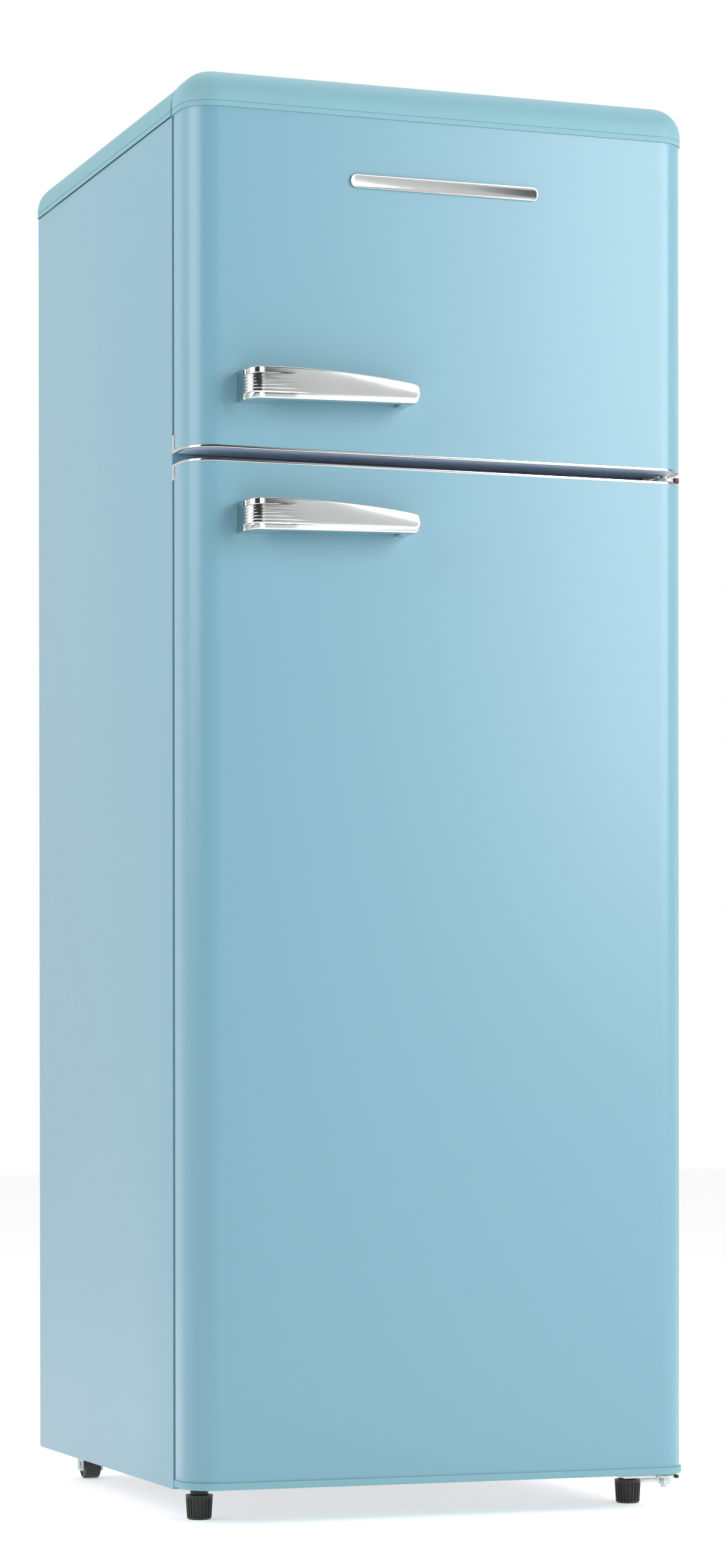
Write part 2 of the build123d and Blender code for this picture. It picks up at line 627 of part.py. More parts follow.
def hinge_fasteners():
    """Cross-head screws in the plates and the nut on the lower pin bolt."""
    pieces = []
    for x in HINGE_SCREW_XS:
        head = bar_y(4, x, -5, -2, HINGE_SCREW_Z)
        cross = block(x - 2.2, x + 2.2, -6, -3.6, HINGE_SCREW_Z - 0.5, HINGE_SCREW_Z + 0.5)
        cross += block(x - 0.5, x + 0.5, -6, -3.6, HINGE_SCREW_Z - 2.2, HINGE_SCREW_Z + 2.2)
        pieces.append(head + bar_y(SCREW_R, x, -2, SCREW_DEPTH, HINGE_SCREW_Z) - cross)
    for x, y in TOP_SCREWS:
        head = post(4, x, y, CABINET_TOP + BRACKET, CABINET_TOP + BRACKET + 3)
        pieces.append(head + post(SCREW_R, x, y, CABINET_TOP, CABINET_TOP + BRACKET))
    pieces.append(hex_nut(13, CABINET_BOTTOM - BRACKET - 6.5, CABINET_BOTTOM - BRACKET, PIN_X, PIN_Y))
    return pieces


# Feet, rollers and the compressor bay

def foot():
    """A ribbed, tapering screw foot with its threaded stud, at the origin."""
    cone = Pos(0, 0, 1.5 + (FOOT_HIGH - 1.5) / 2) * Cone(12.6, 14.0, FOOT_HIGH - 1.5)
    base = Pos(0, 0, 0.75) * Cone(11.2, 12.6, 1.5)
    body = base + cone
    for i in range(FOOT_RIBS):
        turn = 360 * i / FOOT_RIBS
        groove = Rot(0, 0, turn) * Pos(14.0, 0, 10) * Rot(0, 3.4, 0) * Box(2.2, 1.5, 24)
        body -= groove
    body -= Pos(0, 0, FOOT_HIGH) * Cylinder(10.6, 12)
    return body + Pos(0, 0, STUD_TOP / 2 + 4) * Cylinder(PIN_R, STUD_TOP - 8)


def foot_collars():
    """The fixed black collars that the feet screw up into."""
    collars = []
    for x, top in ((-FOOT_X, BASE_Z), (FOOT_X, CABINET_BOTTOM - BRACKET)):
        collars.append(post(9.25, x, FOOT_Y, 19.8, top) - post(PIN_R + 0.5, x, FOOT_Y, 10, 60))
    return collars


def roller():
    """A rear roller on the origin, its axis along X."""
    wheel = Rot(0, 90, 0) * Cylinder(ROLLER_R, 18)
    wheel = fillet(wheel.edges().filter_by(GeomType.CIRCLE), 2)
    return wheel - Rot(0, 90, 0) * Cylinder(PIN_R + PIN_PLAY, 30)


def compressor_shelf():
    """The steel plate under the compressor, with roller brackets and axles."""
    plate = block(-HALF + SHEET, HALF - SHEET, BAY_FRONT + 4, 516, BASE_Z, BASE_Z + 2)
    plate += block(-HALF + SHEET, HALF - SHEET, 514, 516, BASE_Z, BASE_Z + 22)
    for side in (-1, 1):
        for gap in (-12, 10):
            x = side * ROLLER_X + gap
            plate += block(x, x + 2, ROLLER_Y - 10, ROLLER_Y + 10, 9, BASE_Z)
        plate += bar_x(PIN_R, side * ROLLER_X - 13, side * ROLLER_X + 13, ROLLER_Y, ROLLER_R)
    for x, y in mount_places():
        plate -= post(4, x, y, BASE_Z - 1, BASE_Z + 3)
    return plate


def mount_places():
    return [(COMPRESSOR_X + a, COMPRESSOR_Y + b) for a in (-75, 75) for b in (-45, 45)]


def compressor():
    """The sealed motor-compressor: a welded can on a flat foot plate."""
    can = post(70, COMPRESSOR_X, COMPRESSOR_Y, 62, 196)
    can = fillet(can.edges().filter_by(GeomType.CIRCLE), 28)
    can += post(72, COMPRESSOR_X, COMPRESSOR_Y, 128, 134)
    foot_plate = block(COMPRESSOR_X - 92, COMPRESSOR_X + 92, COMPRESSOR_Y - 58, COMPRESSOR_Y + 58, 58, 62)
    can += foot_plate + post(40, COMPRESSOR_X, COMPRESSOR_Y, 60, 66)
    for x, y in mount_places():
        can -= post(6, x, y, 57, 63)
    return can


def compressor_mounts():
    """Rubber bushes between the compressor and its plate."""
    return [post(11, x, y, BASE_Z + 2, 58) + post(6, x, y, 57, 66) for x, y in mount_places()]


def terminal_box(can):
    """The cover over the compressor's terminals and starter."""
    box = block(-48, 12, COMPRESSOR_Y - 30, COMPRESSOR_Y + 30, 84, 150)
    return box - can


def evaporation_tray():
    """The tray on the compressor that collects and dries the drained water."""
    body = block(0, 130, 380, 470, 198, 222)
    return body - block(2, 128, 382, 468, 200, 223)


def drain_tube():
    """The tube from the fridge's floor down to the tray."""
    outer = post(DRAIN_R, COMPRESSOR_X, DRAIN_Y, 226, HUMP_TOP)
    return outer - post(DRAIN_R - 2, COMPRESSOR_X, DRAIN_Y, 220, 290)


def pipe(points, bend, radius):
    """A round pipe along straight runs with equal bends."""
    path = FilletPolyline(*points, radius=bend)
    start = Plane(origin=path @ 0, z_dir=path % 0)
    return sweep(start * Circle(radius), path=path)


def condenser():
    """The black coil on the back with its upright wires."""
    y = 502.0
    runs = 19
    points = []
    for i in range(runs):
        z = 300.0 + i * 60
        ends = (-235, 235) if i % 2 == 0 else (235, -235)
        points += [(ends[0], y, z), (ends[1], y, z)]
    coil = pipe(points, 20, CONDENSER_R)
    wires = [post(0.8, x, y + CONDENSER_R + 0.82, 290, 1392) for x in range(-220, 221, 20)]
    clips = []
    for x in (-200, 200):
        for z in (330, 810, 1350):
            clip = block(x - 6, x + 6, REAR_PANEL_Y + SHEET, y - CONDENSER_R - 0.1, z - 10, z + 10)
            clips.append(clip)
    return [coil, *wires, *clips]


def refrigerant_lines():
    """Copper pipes in the bay, with the filter drier."""
    hot = pipe([(COMPRESSOR_X + 73, 440, 100), (200, 440, 100), (200, 502, 100), (200, 502, 290)], 14, 2.5)
    drier = post(9, -150, 455, 110, 200)
    drier = fillet(drier.edges().filter_by(GeomType.CIRCLE), 5)
    liquid = pipe([(-150, 455, 200), (-150, 455, 218), (-215, 455, 218), (-215, 502, 218),
                   (-215, 502, 290)], 9, 2)
    cold = pipe([(COMPRESSOR_X + 50, 374, 110), (COMPRESSOR_X + 50, 350, 110),
                 (COMPRESSOR_X + 50, 350, BAY_ROOF)], 14, 3)
    return [hot, drier + liquid, cold]


def cord_gland():
    """The strain-relief bush in the bay's shelf lip where the mains lead passes."""
    gland = bar_y(9, -200, 508, 514, BASE_Z + 12) + bar_y(6, -200, 500, 518, BASE_Z + 12)
    return gland - bar_y(4, -200, 499, 519, BASE_Z + 12)


def main():
    os.makedirs("parts", exist_ok=True)
    build_cabinet()
    build_freezer_door()
    build_fridge_door()
    build_moving_parts()


def build_cabinet():
    panel = side_panel()
    plate = top_plate()
    rail = centre_rail()
    fridge = fridge_liner()
    freezer = freezer_liner()
    cold_plates = evaporators()
    flanges = (
        liner_flange(FRIDGE_HALF, FRIDGE_FLOOR, FRIDGE_CEILING),
        liner_flange(FREEZER_HALF, FREEZER_FLOOR, FREEZER_CEILING))
    can = compressor()
    save("right_side_panel", panel)
    save("left_side_panel", mirrored(panel))
    save("rear_panel", rear_panel())
    save("top_cover", top_cover())
    save("top_plate", plate)
    save("base_pan", base_pan())
    save("centre_rail", rail)
    save("fridge_liner", fridge)
    save("freezer_liner", freezer)
    save("evaporators", Compound(children=list(cold_plates)))
    save("foam_core", foam_core((*cold_plates, *flanges)))
    save("glass_shelves", Compound(children=glass_shelves()))
    save("shelf_trims", Compound(children=shelf_trims()))
    save("freezer_shelf", freezer_shelf())
    save("thermostat_housing", thermostat_housing())
    save("lamp_cover", lamp_cover())
    save("light_switch_housing", light_switch_housing())
    save("top_hinge", top_hinge())
    save("centre_hinge", centre_hinge())
    save("bottom_hinge", bottom_hinge())
    save("hinge_end_caps", Compound(children=list(hinge_end_caps())))
    save("hinge_fasteners", Compound(children=hinge_fasteners()))
    save("foot_collars", Compound(children=foot_collars()))
    save("compressor_shelf", compressor_shelf() - bar_y(6, -200, 500, 518, BASE_Z + 12))
    save("compressor", can)
    save("compressor_mounts", Compound(children=compressor_mounts()))
    save("terminal_box", terminal_box(can))
    save("evaporation_tray", evaporation_tray())
    save("drain_tube", drain_tube())
    save("condenser", Compound(children=condenser()))
    save("refrigerant_lines", Compound(children=refrigerant_lines()))
    save("cord_gland", cord_gland())


def build_freezer_door():
    low = FREEZER_SKIN_LOW + END_PLATE
    high = FREEZER_SKIN_HIGH - END_PLATE
    half = FREEZER_HALF - 10
    dyke_low = FREEZER_FLOOR + 12
    dyke_high = FREEZER_CEILING - 14
    skin = door_skin(FREEZER_SKIN_LOW, FREEZER_SKIN_HIGH, FREEZER_STUD_Z)
    lower = end_plate(skin, FREEZER_SKIN_LOW, low)
    lower += door_slab(-3, DOOR_BACK - 3, FREEZER_DOOR_LOW + 0.3, FREEZER_SKIN_LOW)
    lower -= pin_hole(FREEZER_DOOR_LOW - 1, low + 1)
    upper = end_plate(skin, high, FREEZER_SKIN_HIGH) - pin_hole(high - 1, FREEZER_SKIN_HIGH + 1)
    foam = door_foam(half, low, high, dyke_low, dyke_high, FREEZER_STUD_Z)
    foam -= pin_hole(low - 1, low + 12) + pin_hole(high - 12, high + 1)
    lower_bush = bush(FREEZER_DOOR_LOW + 0.3, low + 8, FREEZER_DOOR_LOW - 0.9)
    upper_bush = bush(high - 8, FREEZER_SKIN_HIGH, FREEZER_SKIN_HIGH - 1.2)
    upper -= post(9, PIN_X, PIN_Y, FREEZER_SKIN_HIGH - 1.2, FREEZER_SKIN_HIGH + 1)
    save("freezer_door_skin", skin)
    save("freezer_door_cap", freezer_door_cap())
    save("freezer_door_end_plates", Compound(children=[lower, upper]))
    save("freezer_door_trim", chrome_trim(FREEZER_DOOR_LOW, FREEZER_SKIN_LOW, FREEZER_DOOR_LOW, 1102.3))
    save("freezer_door_foam", foam)
    save("freezer_door_liner", door_liner(half, low, high, dyke_low, dyke_high))
    save("freezer_door_gasket", door_gasket(low + 4.2, high))
    save("freezer_door_rack", tray(half - DYKE_WIDTH - 2, LAND_BACK, 60, 1160, 1215, 2.5))
    save("freezer_handle", handle(0))
    save("freezer_door_fittings", Compound(children=[lower_bush, upper_bush, *studs(FREEZER_STUD_Z)]))
    save("nameplate", nameplate())


def build_fridge_door():
    low = FRIDGE_SKIN_LOW + END_PLATE
    high = FRIDGE_SKIN_HIGH - END_PLATE
    half = FRIDGE_HALF - 10
    dyke_low = FRIDGE_FLOOR + 14
    dyke_high = 1022.0
    stud_z = FREEZER_STUD_Z - HANDLE_DROP
    skin = door_skin(FRIDGE_SKIN_LOW, FRIDGE_SKIN_HIGH, stud_z)
    cap = door_slab(CAP_OVERHANG, DOOR_BACK, FRIDGE_DOOR_LOW, FRIDGE_SKIN_LOW)
    cap = fillet(cap.faces().sort_by(Axis.Z)[0].edges(), 2.0)
    cap -= pin_hole(FRIDGE_DOOR_LOW - 1, FRIDGE_SKIN_LOW + 1)
    lower = end_plate(skin, FRIDGE_SKIN_LOW, low) - pin_hole(FRIDGE_SKIN_LOW - 1, low + 1)
    upper = end_plate(skin, high, FRIDGE_SKIN_HIGH)
    upper += door_slab(-3, DOOR_BACK - 3, FRIDGE_SKIN_HIGH, FRIDGE_DOOR_HIGH - 0.3)
    upper -= pin_hole(high - 1, FRIDGE_DOOR_HIGH + 1)
    foam = door_foam(half, low, high, dyke_low, dyke_high, stud_z)
    foam -= pin_hole(low - 1, low + 8) + pin_hole(high - 14, high + 1)
    lower_bush = bush(FRIDGE_DOOR_LOW, low + 6, FRIDGE_DOOR_LOW - 1.2)
    upper_bush = bush(high - 8, FRIDGE_DOOR_HIGH - 0.3, FRIDGE_DOOR_HIGH - 0.3)
    save("fridge_door_skin", skin)
    save("fridge_door_base_cap", cap)
    save("fridge_door_end_plates", Compound(children=[lower, upper]))
    save("fridge_door_trim", chrome_trim(FRIDGE_SKIN_HIGH, FRIDGE_DOOR_HIGH, 1056.4, FRIDGE_DOOR_HIGH))
    save("fridge_door_foam", foam)
    save("fridge_door_liner", door_liner(half, low, high, dyke_low, dyke_high))
    save("fridge_door_gasket", door_gasket(low, high))
    bins = [tray(half - DYKE_WIDTH - 2, LAND_BACK, 85, z0, z1, 2.5) for z0, z1 in BINS]
    save("fridge_door_bins", Compound(children=bins))
    save("fridge_handle", handle(HANDLE_DROP))
    save("fridge_door_fittings", Compound(children=[lower_bush, upper_bush, *studs(stud_z)]))


def build_moving_parts():
    save("crisper_drawer", crisper_drawer())
    save("thermostat_knob", thermostat_knob())
    save("light_switch_plunger", light_switch_plunger())
    save("left_foot", Pos(-FOOT_X, FOOT_Y, 0) * foot())
    save("right_foot", Pos(FOOT_X, FOOT_Y, 0) * foot())
    save("left_roller", Pos(-ROLLER_X, ROLLER_Y, ROLLER_R) * roller())
    save("right_roller", Pos(ROLLER_X, ROLLER_Y, ROLLER_R) * roller())



main()
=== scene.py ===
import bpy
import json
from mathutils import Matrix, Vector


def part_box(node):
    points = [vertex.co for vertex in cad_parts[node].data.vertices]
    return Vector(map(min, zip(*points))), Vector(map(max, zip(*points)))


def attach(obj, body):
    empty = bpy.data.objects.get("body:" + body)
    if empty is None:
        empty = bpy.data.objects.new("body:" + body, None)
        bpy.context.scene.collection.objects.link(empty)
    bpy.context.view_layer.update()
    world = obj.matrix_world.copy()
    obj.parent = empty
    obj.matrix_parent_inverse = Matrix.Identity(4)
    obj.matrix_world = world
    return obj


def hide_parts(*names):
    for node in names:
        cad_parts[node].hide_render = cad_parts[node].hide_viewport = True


bl_info = {
    "name": "Two-Door Refrigerator Workshop",
    "version": (1, 0, 0),
    "blender": (4, 5, 0),
    "location": "View3D > Sidebar > Refrigerator",
    "description": "Models the visible pieces of a tall two-door refrigerator round its engineering frame",
    "category": "Add Mesh",
}

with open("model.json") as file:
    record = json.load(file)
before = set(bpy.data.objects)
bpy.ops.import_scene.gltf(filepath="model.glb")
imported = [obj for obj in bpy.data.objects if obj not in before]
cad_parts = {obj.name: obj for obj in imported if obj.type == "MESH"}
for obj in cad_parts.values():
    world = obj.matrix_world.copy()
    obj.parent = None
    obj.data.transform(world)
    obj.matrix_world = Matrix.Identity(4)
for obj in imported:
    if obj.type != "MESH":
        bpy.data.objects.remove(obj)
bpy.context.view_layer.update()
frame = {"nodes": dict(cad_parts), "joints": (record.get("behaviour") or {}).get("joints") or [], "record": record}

import json
import math

import bmesh
import bpy
from bpy.props import FloatProperty, FloatVectorProperty, IntProperty, PointerProperty
from mathutils import Vector

MM = 0.001
RECORD = frame["record"]
BODY_OF = {n: body for body, nodes in RECORD["behaviour"]["bodies"].items() for n in nodes}
SLOT_OF = {p["node"]: p["material_slot"] for p in RECORD["subparts"]}
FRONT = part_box("centre_rail")[0].y


def span(node):
    """A node's box at rest as x0, x1, y0, y1, z0, z1."""
    low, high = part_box(node)
    return low.x, high.x, low.y, high.y, low.z, high.z


def solid_spans(node):
    """The boxes of a node's separate solids, from left to right and bottom to top."""
    mesh = frame["nodes"][node].data
    copy = bmesh.new()
    copy.from_mesh(mesh)
    bmesh.ops.remove_doubles(copy, verts=copy.verts, dist=1e-6)
    copy.verts.ensure_lookup_table()
    seen, found = set(), []
    for first in copy.verts:
        if first.index in seen:
            continue
        seen.add(first.index)
        heap, members = [first], []
        while heap:
            v = heap.pop()
            members.append(v.co.copy())
            for edge in v.link_edges:
                other = edge.other_vert(v)
                if other.index not in seen:
                    seen.add(other.index)
                    heap.append(other)
        low = [min(p[i] for p in members) for i in range(3)]
        high = [max(p[i] for p in members) for i in range(3)]
        found.append((low[0], high[0], low[1], high[1], low[2], high[2]))
    copy.free()
    return sorted(found, key=lambda s: (round(s[4], 4), round(s[0], 4), s[2]))


# Settings that a user would change

class RefrigeratorSizes(bpy.types.PropertyGroup):
    door_corner: FloatProperty(name="Door corner", description="Radius of the doors' upright front corners",
                               default=0.033, unit="LENGTH")
    door_back_corner: FloatProperty(name="Door back corner", description="Radius of the doors' upright rear corners",
                                    default=0.004, unit="LENGTH")
    sheet: FloatProperty(name="Sheet", description="Thickness of the painted steel", default=0.001, unit="LENGTH")
    panel_edge: FloatProperty(name="Panel edge", description="Radius of the side panels' front fold",
                              default=0.002, unit="LENGTH")
    panel_foot: FloatProperty(name="Panel foot", description="Radius of the side panels' low rear corner",
                              default=0.006, unit="LENGTH")
    lid_round: FloatProperty(name="Lid shoulder", description="Radius of the top cover's shoulders",
                             default=0.033, unit="LENGTH")
    cap_round: FloatProperty(name="Cap shoulder", description="Radius of the freezer door cap's shoulders",
                             default=0.030, unit="LENGTH")
    crease_height: FloatProperty(name="Crease height", description="Height of the crease above the lids' lower edge",
                                 default=0.0052, unit="LENGTH")
    crease_depth: FloatProperty(name="Crease depth", description="Depth of the crease", default=0.0005, unit="LENGTH")
    trim_width: FloatProperty(name="Trim depth", description="Depth of the bright bands from front to back",
                              default=0.003, unit="LENGTH")
    liner: FloatProperty(name="Liner", description="Thickness of the moulded linings", default=0.002, unit="LENGTH")
    liner_corner: FloatProperty(name="Liner corner", description="Radius inside the food spaces",
                                default=0.010, unit="LENGTH")
    foot_ribs: IntProperty(name="Foot ribs", description="Grip ribs round each levelling foot", default=22)
    handle_ribs: IntProperty(name="Handle ribs", description="Flutes round each handle's nose", default=6)
    rib_fade: FloatProperty(name="Rib fade", description="How far the flutes run along a handle",
                            default=0.080, unit="LENGTH")


class RefrigeratorColours(bpy.types.PropertyGroup):
    enamel: FloatVectorProperty(name="Enamel", description="Paint of the doors and sides",
                                default=(0.158, 0.335, 0.420), size=3, subtype="COLOR")
    lid: FloatVectorProperty(name="Lid plastic", description="Moulded lid, cap and door base",
                             default=(0.190, 0.375, 0.430), size=3, subtype="COLOR")
    # Partly the rail's own blue-grey paint and partly painted shade: the colour is darkened to the shade that falls
    # in the narrow gap between the doors.
    gap: FloatVectorProperty(name="Rail paint and gap shade", description="Rail between the doors",
                             default=(0.120, 0.170, 0.270), size=3, subtype="COLOR")
    liner: FloatVectorProperty(name="Liner white", description="Moulded inner linings",
                               default=(0.800, 0.820, 0.830), size=3, subtype="COLOR")
    floor: FloatVectorProperty(name="Floor", description="Plain floor", default=(0.86, 0.86, 0.86),
                               size=3, subtype="COLOR")


def sizes():
    return bpy.context.scene.refrigerator_sizes


def colours():
    return bpy.context.scene.refrigerator_colours


# Modelling steps

def leave():
    if bpy.context.object and bpy.context.object.mode != "OBJECT":
        bpy.ops.object.mode_set(mode="OBJECT")


def fresh():
    """Leaves edit mode with nothing selected, as before a primitive is added."""
    leave()
    bpy.ops.object.select_all(action="DESELECT")


def only(*things):
    """Selects these objects and nothing else; the first is active."""
    fresh()
    for thing in things:
        thing.select_set(True)
    bpy.context.view_layer.objects.active = things[0]


def edit_all(piece):
    """Enters edit mode with the whole mesh selected."""
    only(piece)
    bpy.ops.object.mode_set(mode="EDIT")
    bpy.ops.mesh.select_all(action="SELECT")


def settle(piece):
    only(piece)
    bpy.ops.object.transform_apply(location=True, rotation=True, scale=True)
    return piece


def block(x0, x1, y0, y1, z0, z1, name="block"):
    """A cube added at its size and place."""
    fresh()
    bpy.ops.mesh.primitive_cube_add(size=1, location=((x0 + x1) / 2, (y0 + y1) / 2, (z0 + z1) / 2))
    piece = bpy.context.object
    piece.name = name
    piece.scale = (x1 - x0, y1 - y0, z1 - z0)
    return settle(piece)


def rod(radius, centre, length, axis="Z", sides=48, name="rod"):
    """A cylinder added at its size and place."""
    fresh()
    turn = {"X": (0, math.pi / 2, 0), "Y": (math.pi / 2, 0, 0), "Z": (0, 0, 0)}[axis]
    bpy.ops.mesh.primitive_cylinder_add(vertices=sides, radius=radius, depth=length, location=centre, rotation=turn)
    piece = bpy.context.object
    piece.name = name
    return settle(piece)


def pick_faces(piece, test):
    """Enters edit mode with the faces selected whose middle and normal pass the test."""
    only(piece)
    bpy.ops.object.mode_set(mode="EDIT")
    bpy.ops.mesh.select_mode(type="FACE")
    bpy.ops.mesh.select_all(action="DESELECT")
    mesh = bmesh.from_edit_mesh(piece.data)
    for face in mesh.faces:
        if test(face.calc_center_median(), face.normal):
            face.select_set(True)
    bmesh.update_edit_mesh(piece.data)


def pick_edges(piece, test):
    """Enters edit mode with the edges selected whose middle and direction pass the test."""
    only(piece)
    bpy.ops.object.mode_set(mode="EDIT")
    bpy.ops.mesh.select_mode(type="EDGE")
    bpy.ops.mesh.select_all(action="DESELECT")
    mesh = bmesh.from_edit_mesh(piece.data)
    for edge in mesh.edges:
        a, b = (v.co for v in edge.verts)
        if (b - a).length and test((a + b) / 2, (b - a).normalized()):
            edge.select_set(True)
    bmesh.update_edit_mesh(piece.data)


def bevel(piece, test, radius, segments=6):
    pick_edges(piece, test)
    bpy.ops.mesh.bevel(offset=radius, offset_type="OFFSET", segments=segments, affect="EDGES", clamp_overlap=True)
    leave()
    return piece


def sharp_round(piece, radius, segments=3, angle=40):
    """Softens every sharp edge."""
    only(piece)
    mod = piece.modifiers.new("Bevel", "BEVEL")
    mod.width, mod.segments = radius, segments
    mod.limit_method, mod.angle_limit = "ANGLE", math.radians(angle)
    bpy.ops.object.modifier_apply(modifier=mod.name)
    return piece


def thicken(piece, wall, inward=True):
    edit_all(piece)
    bpy.ops.mesh.remove_doubles(threshold=1e-6)
    leave()
    mod = piece.modifiers.new("Solidify", "SOLIDIFY")
    mod.thickness, mod.offset, mod.use_even_offset = wall, -1.0 if inward else 1.0, True
    bpy.ops.object.modifier_apply(modifier=mod.name)
    return piece


def combine(piece, other, operation):
    only(piece)
    mod = piece.modifiers.new("Boolean", "BOOLEAN")
    mod.operation, mod.object, mod.solver = operation, other, "EXACT"
    bpy.ops.object.modifier_apply(modifier=mod.name)
    mesh = other.data
    bpy.data.objects.remove(other)
    bpy.data.meshes.remove(mesh)
    return piece


def cut(piece, *cutters):
    for cutter in cutters:
        combine(piece, cutter, "DIFFERENCE")
    return piece


def fuse(piece, *others):
    for other in others:
        combine(piece, other, "UNION")
    return piece


def joined(pieces):
    pieces = list(pieces)
    only(*pieces)
    if len(pieces) > 1:
        bpy.ops.object.join()
    return pieces[0]


def slice_at(piece, co, no, clear_low=False, clear_high=False, fill=False):
    """Cuts edges across the whole piece at a plane."""
    edit_all(piece)
    bpy.ops.mesh.bisect(plane_co=co, plane_no=no, use_fill=fill, clear_inner=clear_low, clear_outer=clear_high)
    leave()
    return piece


def drop_faces(piece, test):
    pick_faces(piece, test)
    bpy.ops.mesh.delete(type="FACE")
    leave()
    return piece


def pull(piece, test, move):
    """Extrudes the chosen faces by a vector."""
    pick_faces(piece, test)
    bpy.ops.mesh.extrude_region_move(TRANSFORM_OT_translate={"value": move})
    leave()
    return piece


def sink(piece, test, border, depth):
    """Insets the chosen faces and moves them along their normal."""
    pick_faces(piece, test)
    bpy.ops.mesh.inset(thickness=border, depth=depth)
    leave()
    return piece


def tidy_flat(piece):
    """Dissolves the edges that cuts left across flat faces."""
    edit_all(piece)
    bpy.ops.mesh.dissolve_limited(angle_limit=math.radians(0.5))
    leave()
    return piece


def copied(piece, move):
    """The same shape again with its own mesh, moved."""
    twin = piece.copy()
    twin.data = piece.data.copy()
    bpy.context.scene.collection.objects.link(twin)
    twin.location = move
    return settle(twin)


def mirrored(piece, axis="X"):
    twin = copied(piece, (0, 0, 0))
    twin.scale = (-1, 1, 1) if axis == "X" else (1, -1, 1)
    return settle(twin)


def finish(piece, name, *nodes, angle=35, keep=False):
    """Cleans the mesh, smooths it and puts it in place of its nodes."""
    edit_all(piece)
    bpy.ops.mesh.remove_doubles(threshold=4e-6)
    bpy.ops.mesh.normals_make_consistent(inside=False)
    leave()
    bpy.ops.object.shade_smooth_by_angle(angle=math.radians(angle))
    piece.name = name
    piece.data.name = name
    piece.data.materials.clear()
    piece.data.materials.append(material_for(SLOT_OF[nodes[0]]))
    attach(piece, BODY_OF[nodes[0]])
    if not keep:
        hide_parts(*nodes)
    return piece


# Shader maths

class Wire:
    """A shader socket that adds nodes when it is used in an expression."""

    def __init__(self, finish_, socket):
        self.finish, self.socket = finish_, socket

    def _maths(self, operation, first, second):
        return self.finish.node("Math", {"operation": operation}, {0: first, 1: second})

    def __add__(self, other):
        return self._maths("ADD", self, other)

    def __radd__(self, other):
        return self._maths("ADD", other, self)

    def __sub__(self, other):
        return self._maths("SUBTRACT", self, other)

    def __rsub__(self, other):
        return self._maths("SUBTRACT", other, self)

    def __mul__(self, other):
        return self._maths("MULTIPLY", self, other)

    def __rmul__(self, other):
        return self._maths("MULTIPLY", other, self)

    def __truediv__(self, other):
        return self._maths("DIVIDE", self, other)

    def __pow__(self, other):
        return self._maths("POWER", self, other)


class Finish:
    """One node material in the making."""

    def __init__(self, name):
        self.material = bpy.data.materials.new(name)
        self.material.use_nodes = True
        self.tree = self.material.node_tree
        self.tree.nodes.clear()
        self.place = self.node("TexCoord", out="Object")

    def node(self, kind, settings=None, inputs=None, out=0):
        """Adds a node: its settings first, then the values or links of its sockets."""
        made = self.tree.nodes.new("ShaderNode" + kind)
        stops = None
        for key, value in (settings or {}).items():
            if key == "stops":
                stops = value
            else:
                setattr(made, key, value)
        if stops:
            ramp = made.color_ramp
            while len(ramp.elements) < len(stops):
                ramp.elements.new(0.5)
            for element, (position, level) in zip(ramp.elements, stops):
                element.position = position
                element.color = (*level, 1) if isinstance(level, tuple) else (level, level, level, 1)
        for key, value in (inputs or {}).items():
            socket = made.inputs[key]
            if isinstance(value, Wire):
                self.tree.links.new(value.socket, socket)
            elif hasattr(socket.default_value, "__len__") and not hasattr(value, "__len__"):
                socket.default_value = [value] * len(socket.default_value)
            elif hasattr(value, "__len__") and len(value) == 3 and len(socket.default_value) == 4:
                socket.default_value = (*value, 1)
            else:
                socket.default_value = value
        return Wire(self, made.outputs[out])

    def noise(self, scale, detail=3.0, rough=0.5, stretch=None):
        place = self.place
        if stretch:
            place = self.node("Mapping", None, {"Vector": place, "Scale": stretch})
        return self.node("TexNoise", None, {"Vector": place, "Scale": scale, "Detail": detail, "Roughness": rough})

    def cells(self, scale, feature="F1", out="Distance"):
        return self.node("TexVoronoi", {"feature": feature}, {"Vector": self.place, "Scale": scale}, out)

    def blend(self, factor, first, second):
        return self.node("Mix", {"data_type": "RGBA"}, {0: factor, 6: first, 7: second}, out=2)

    def tones(self, colour, spread, scale, detail=3.0):
        """A colour that drifts gently lighter and darker over the surface."""
        dark = tuple(c * (1 - spread) for c in colour)
        light = tuple(min(1.0, c * (1 + spread)) for c in colour)
        return self.blend(self.noise(scale, detail), dark, light)

    def bump(self, height, distance, strength=1.0, base=None):
        inputs = {"Height": height, "Distance": distance, "Strength": strength}
        if base is not None:
            inputs["Normal"] = base
        return self.node("Bump", None, inputs)

    def surface(self, **sockets):
        """The shader and the output; names are the shader's own with underscores."""
        inputs = {key.replace("_", " "): value for key, value in sockets.items()}
        shader = self.node("BsdfPrincipled", None, inputs)
        self.node_output(shader)
        return self.material

    def node_output(self, shader):
        out = self.tree.nodes.new("ShaderNodeOutputMaterial")
        self.tree.links.new(shader.socket, out.inputs["Surface"])


# Finishes of this refrigerator

def enamel(name, colour):
    f = Finish(name)
    peel = f.noise(330, 2)
    return f.surface(
        Base_Color=f.tones(colour, 0.012, 1.6),
        Roughness=0.40 + f.noise(40, 3) * 0.04,
        Normal=f.bump(peel, 0.00002, 0.35, f.bump(f.noise(7, 1), 0.0006, 0.12)),
        Coat_Weight=0.5, Coat_Roughness=0.24, Specular_IOR_Level=0.5)


def lid_plastic(name, colour):
    f = Finish(name)
    return f.surface(
        Base_Color=f.tones(colour, 0.015, 3),
        Roughness=0.50 + f.noise(60, 3) * 0.06, Specular_IOR_Level=0.35,
        Normal=f.bump(f.noise(700, 2), 0.00002, 0.35, f.bump(f.noise(6, 1), 0.0006, 0.1)))


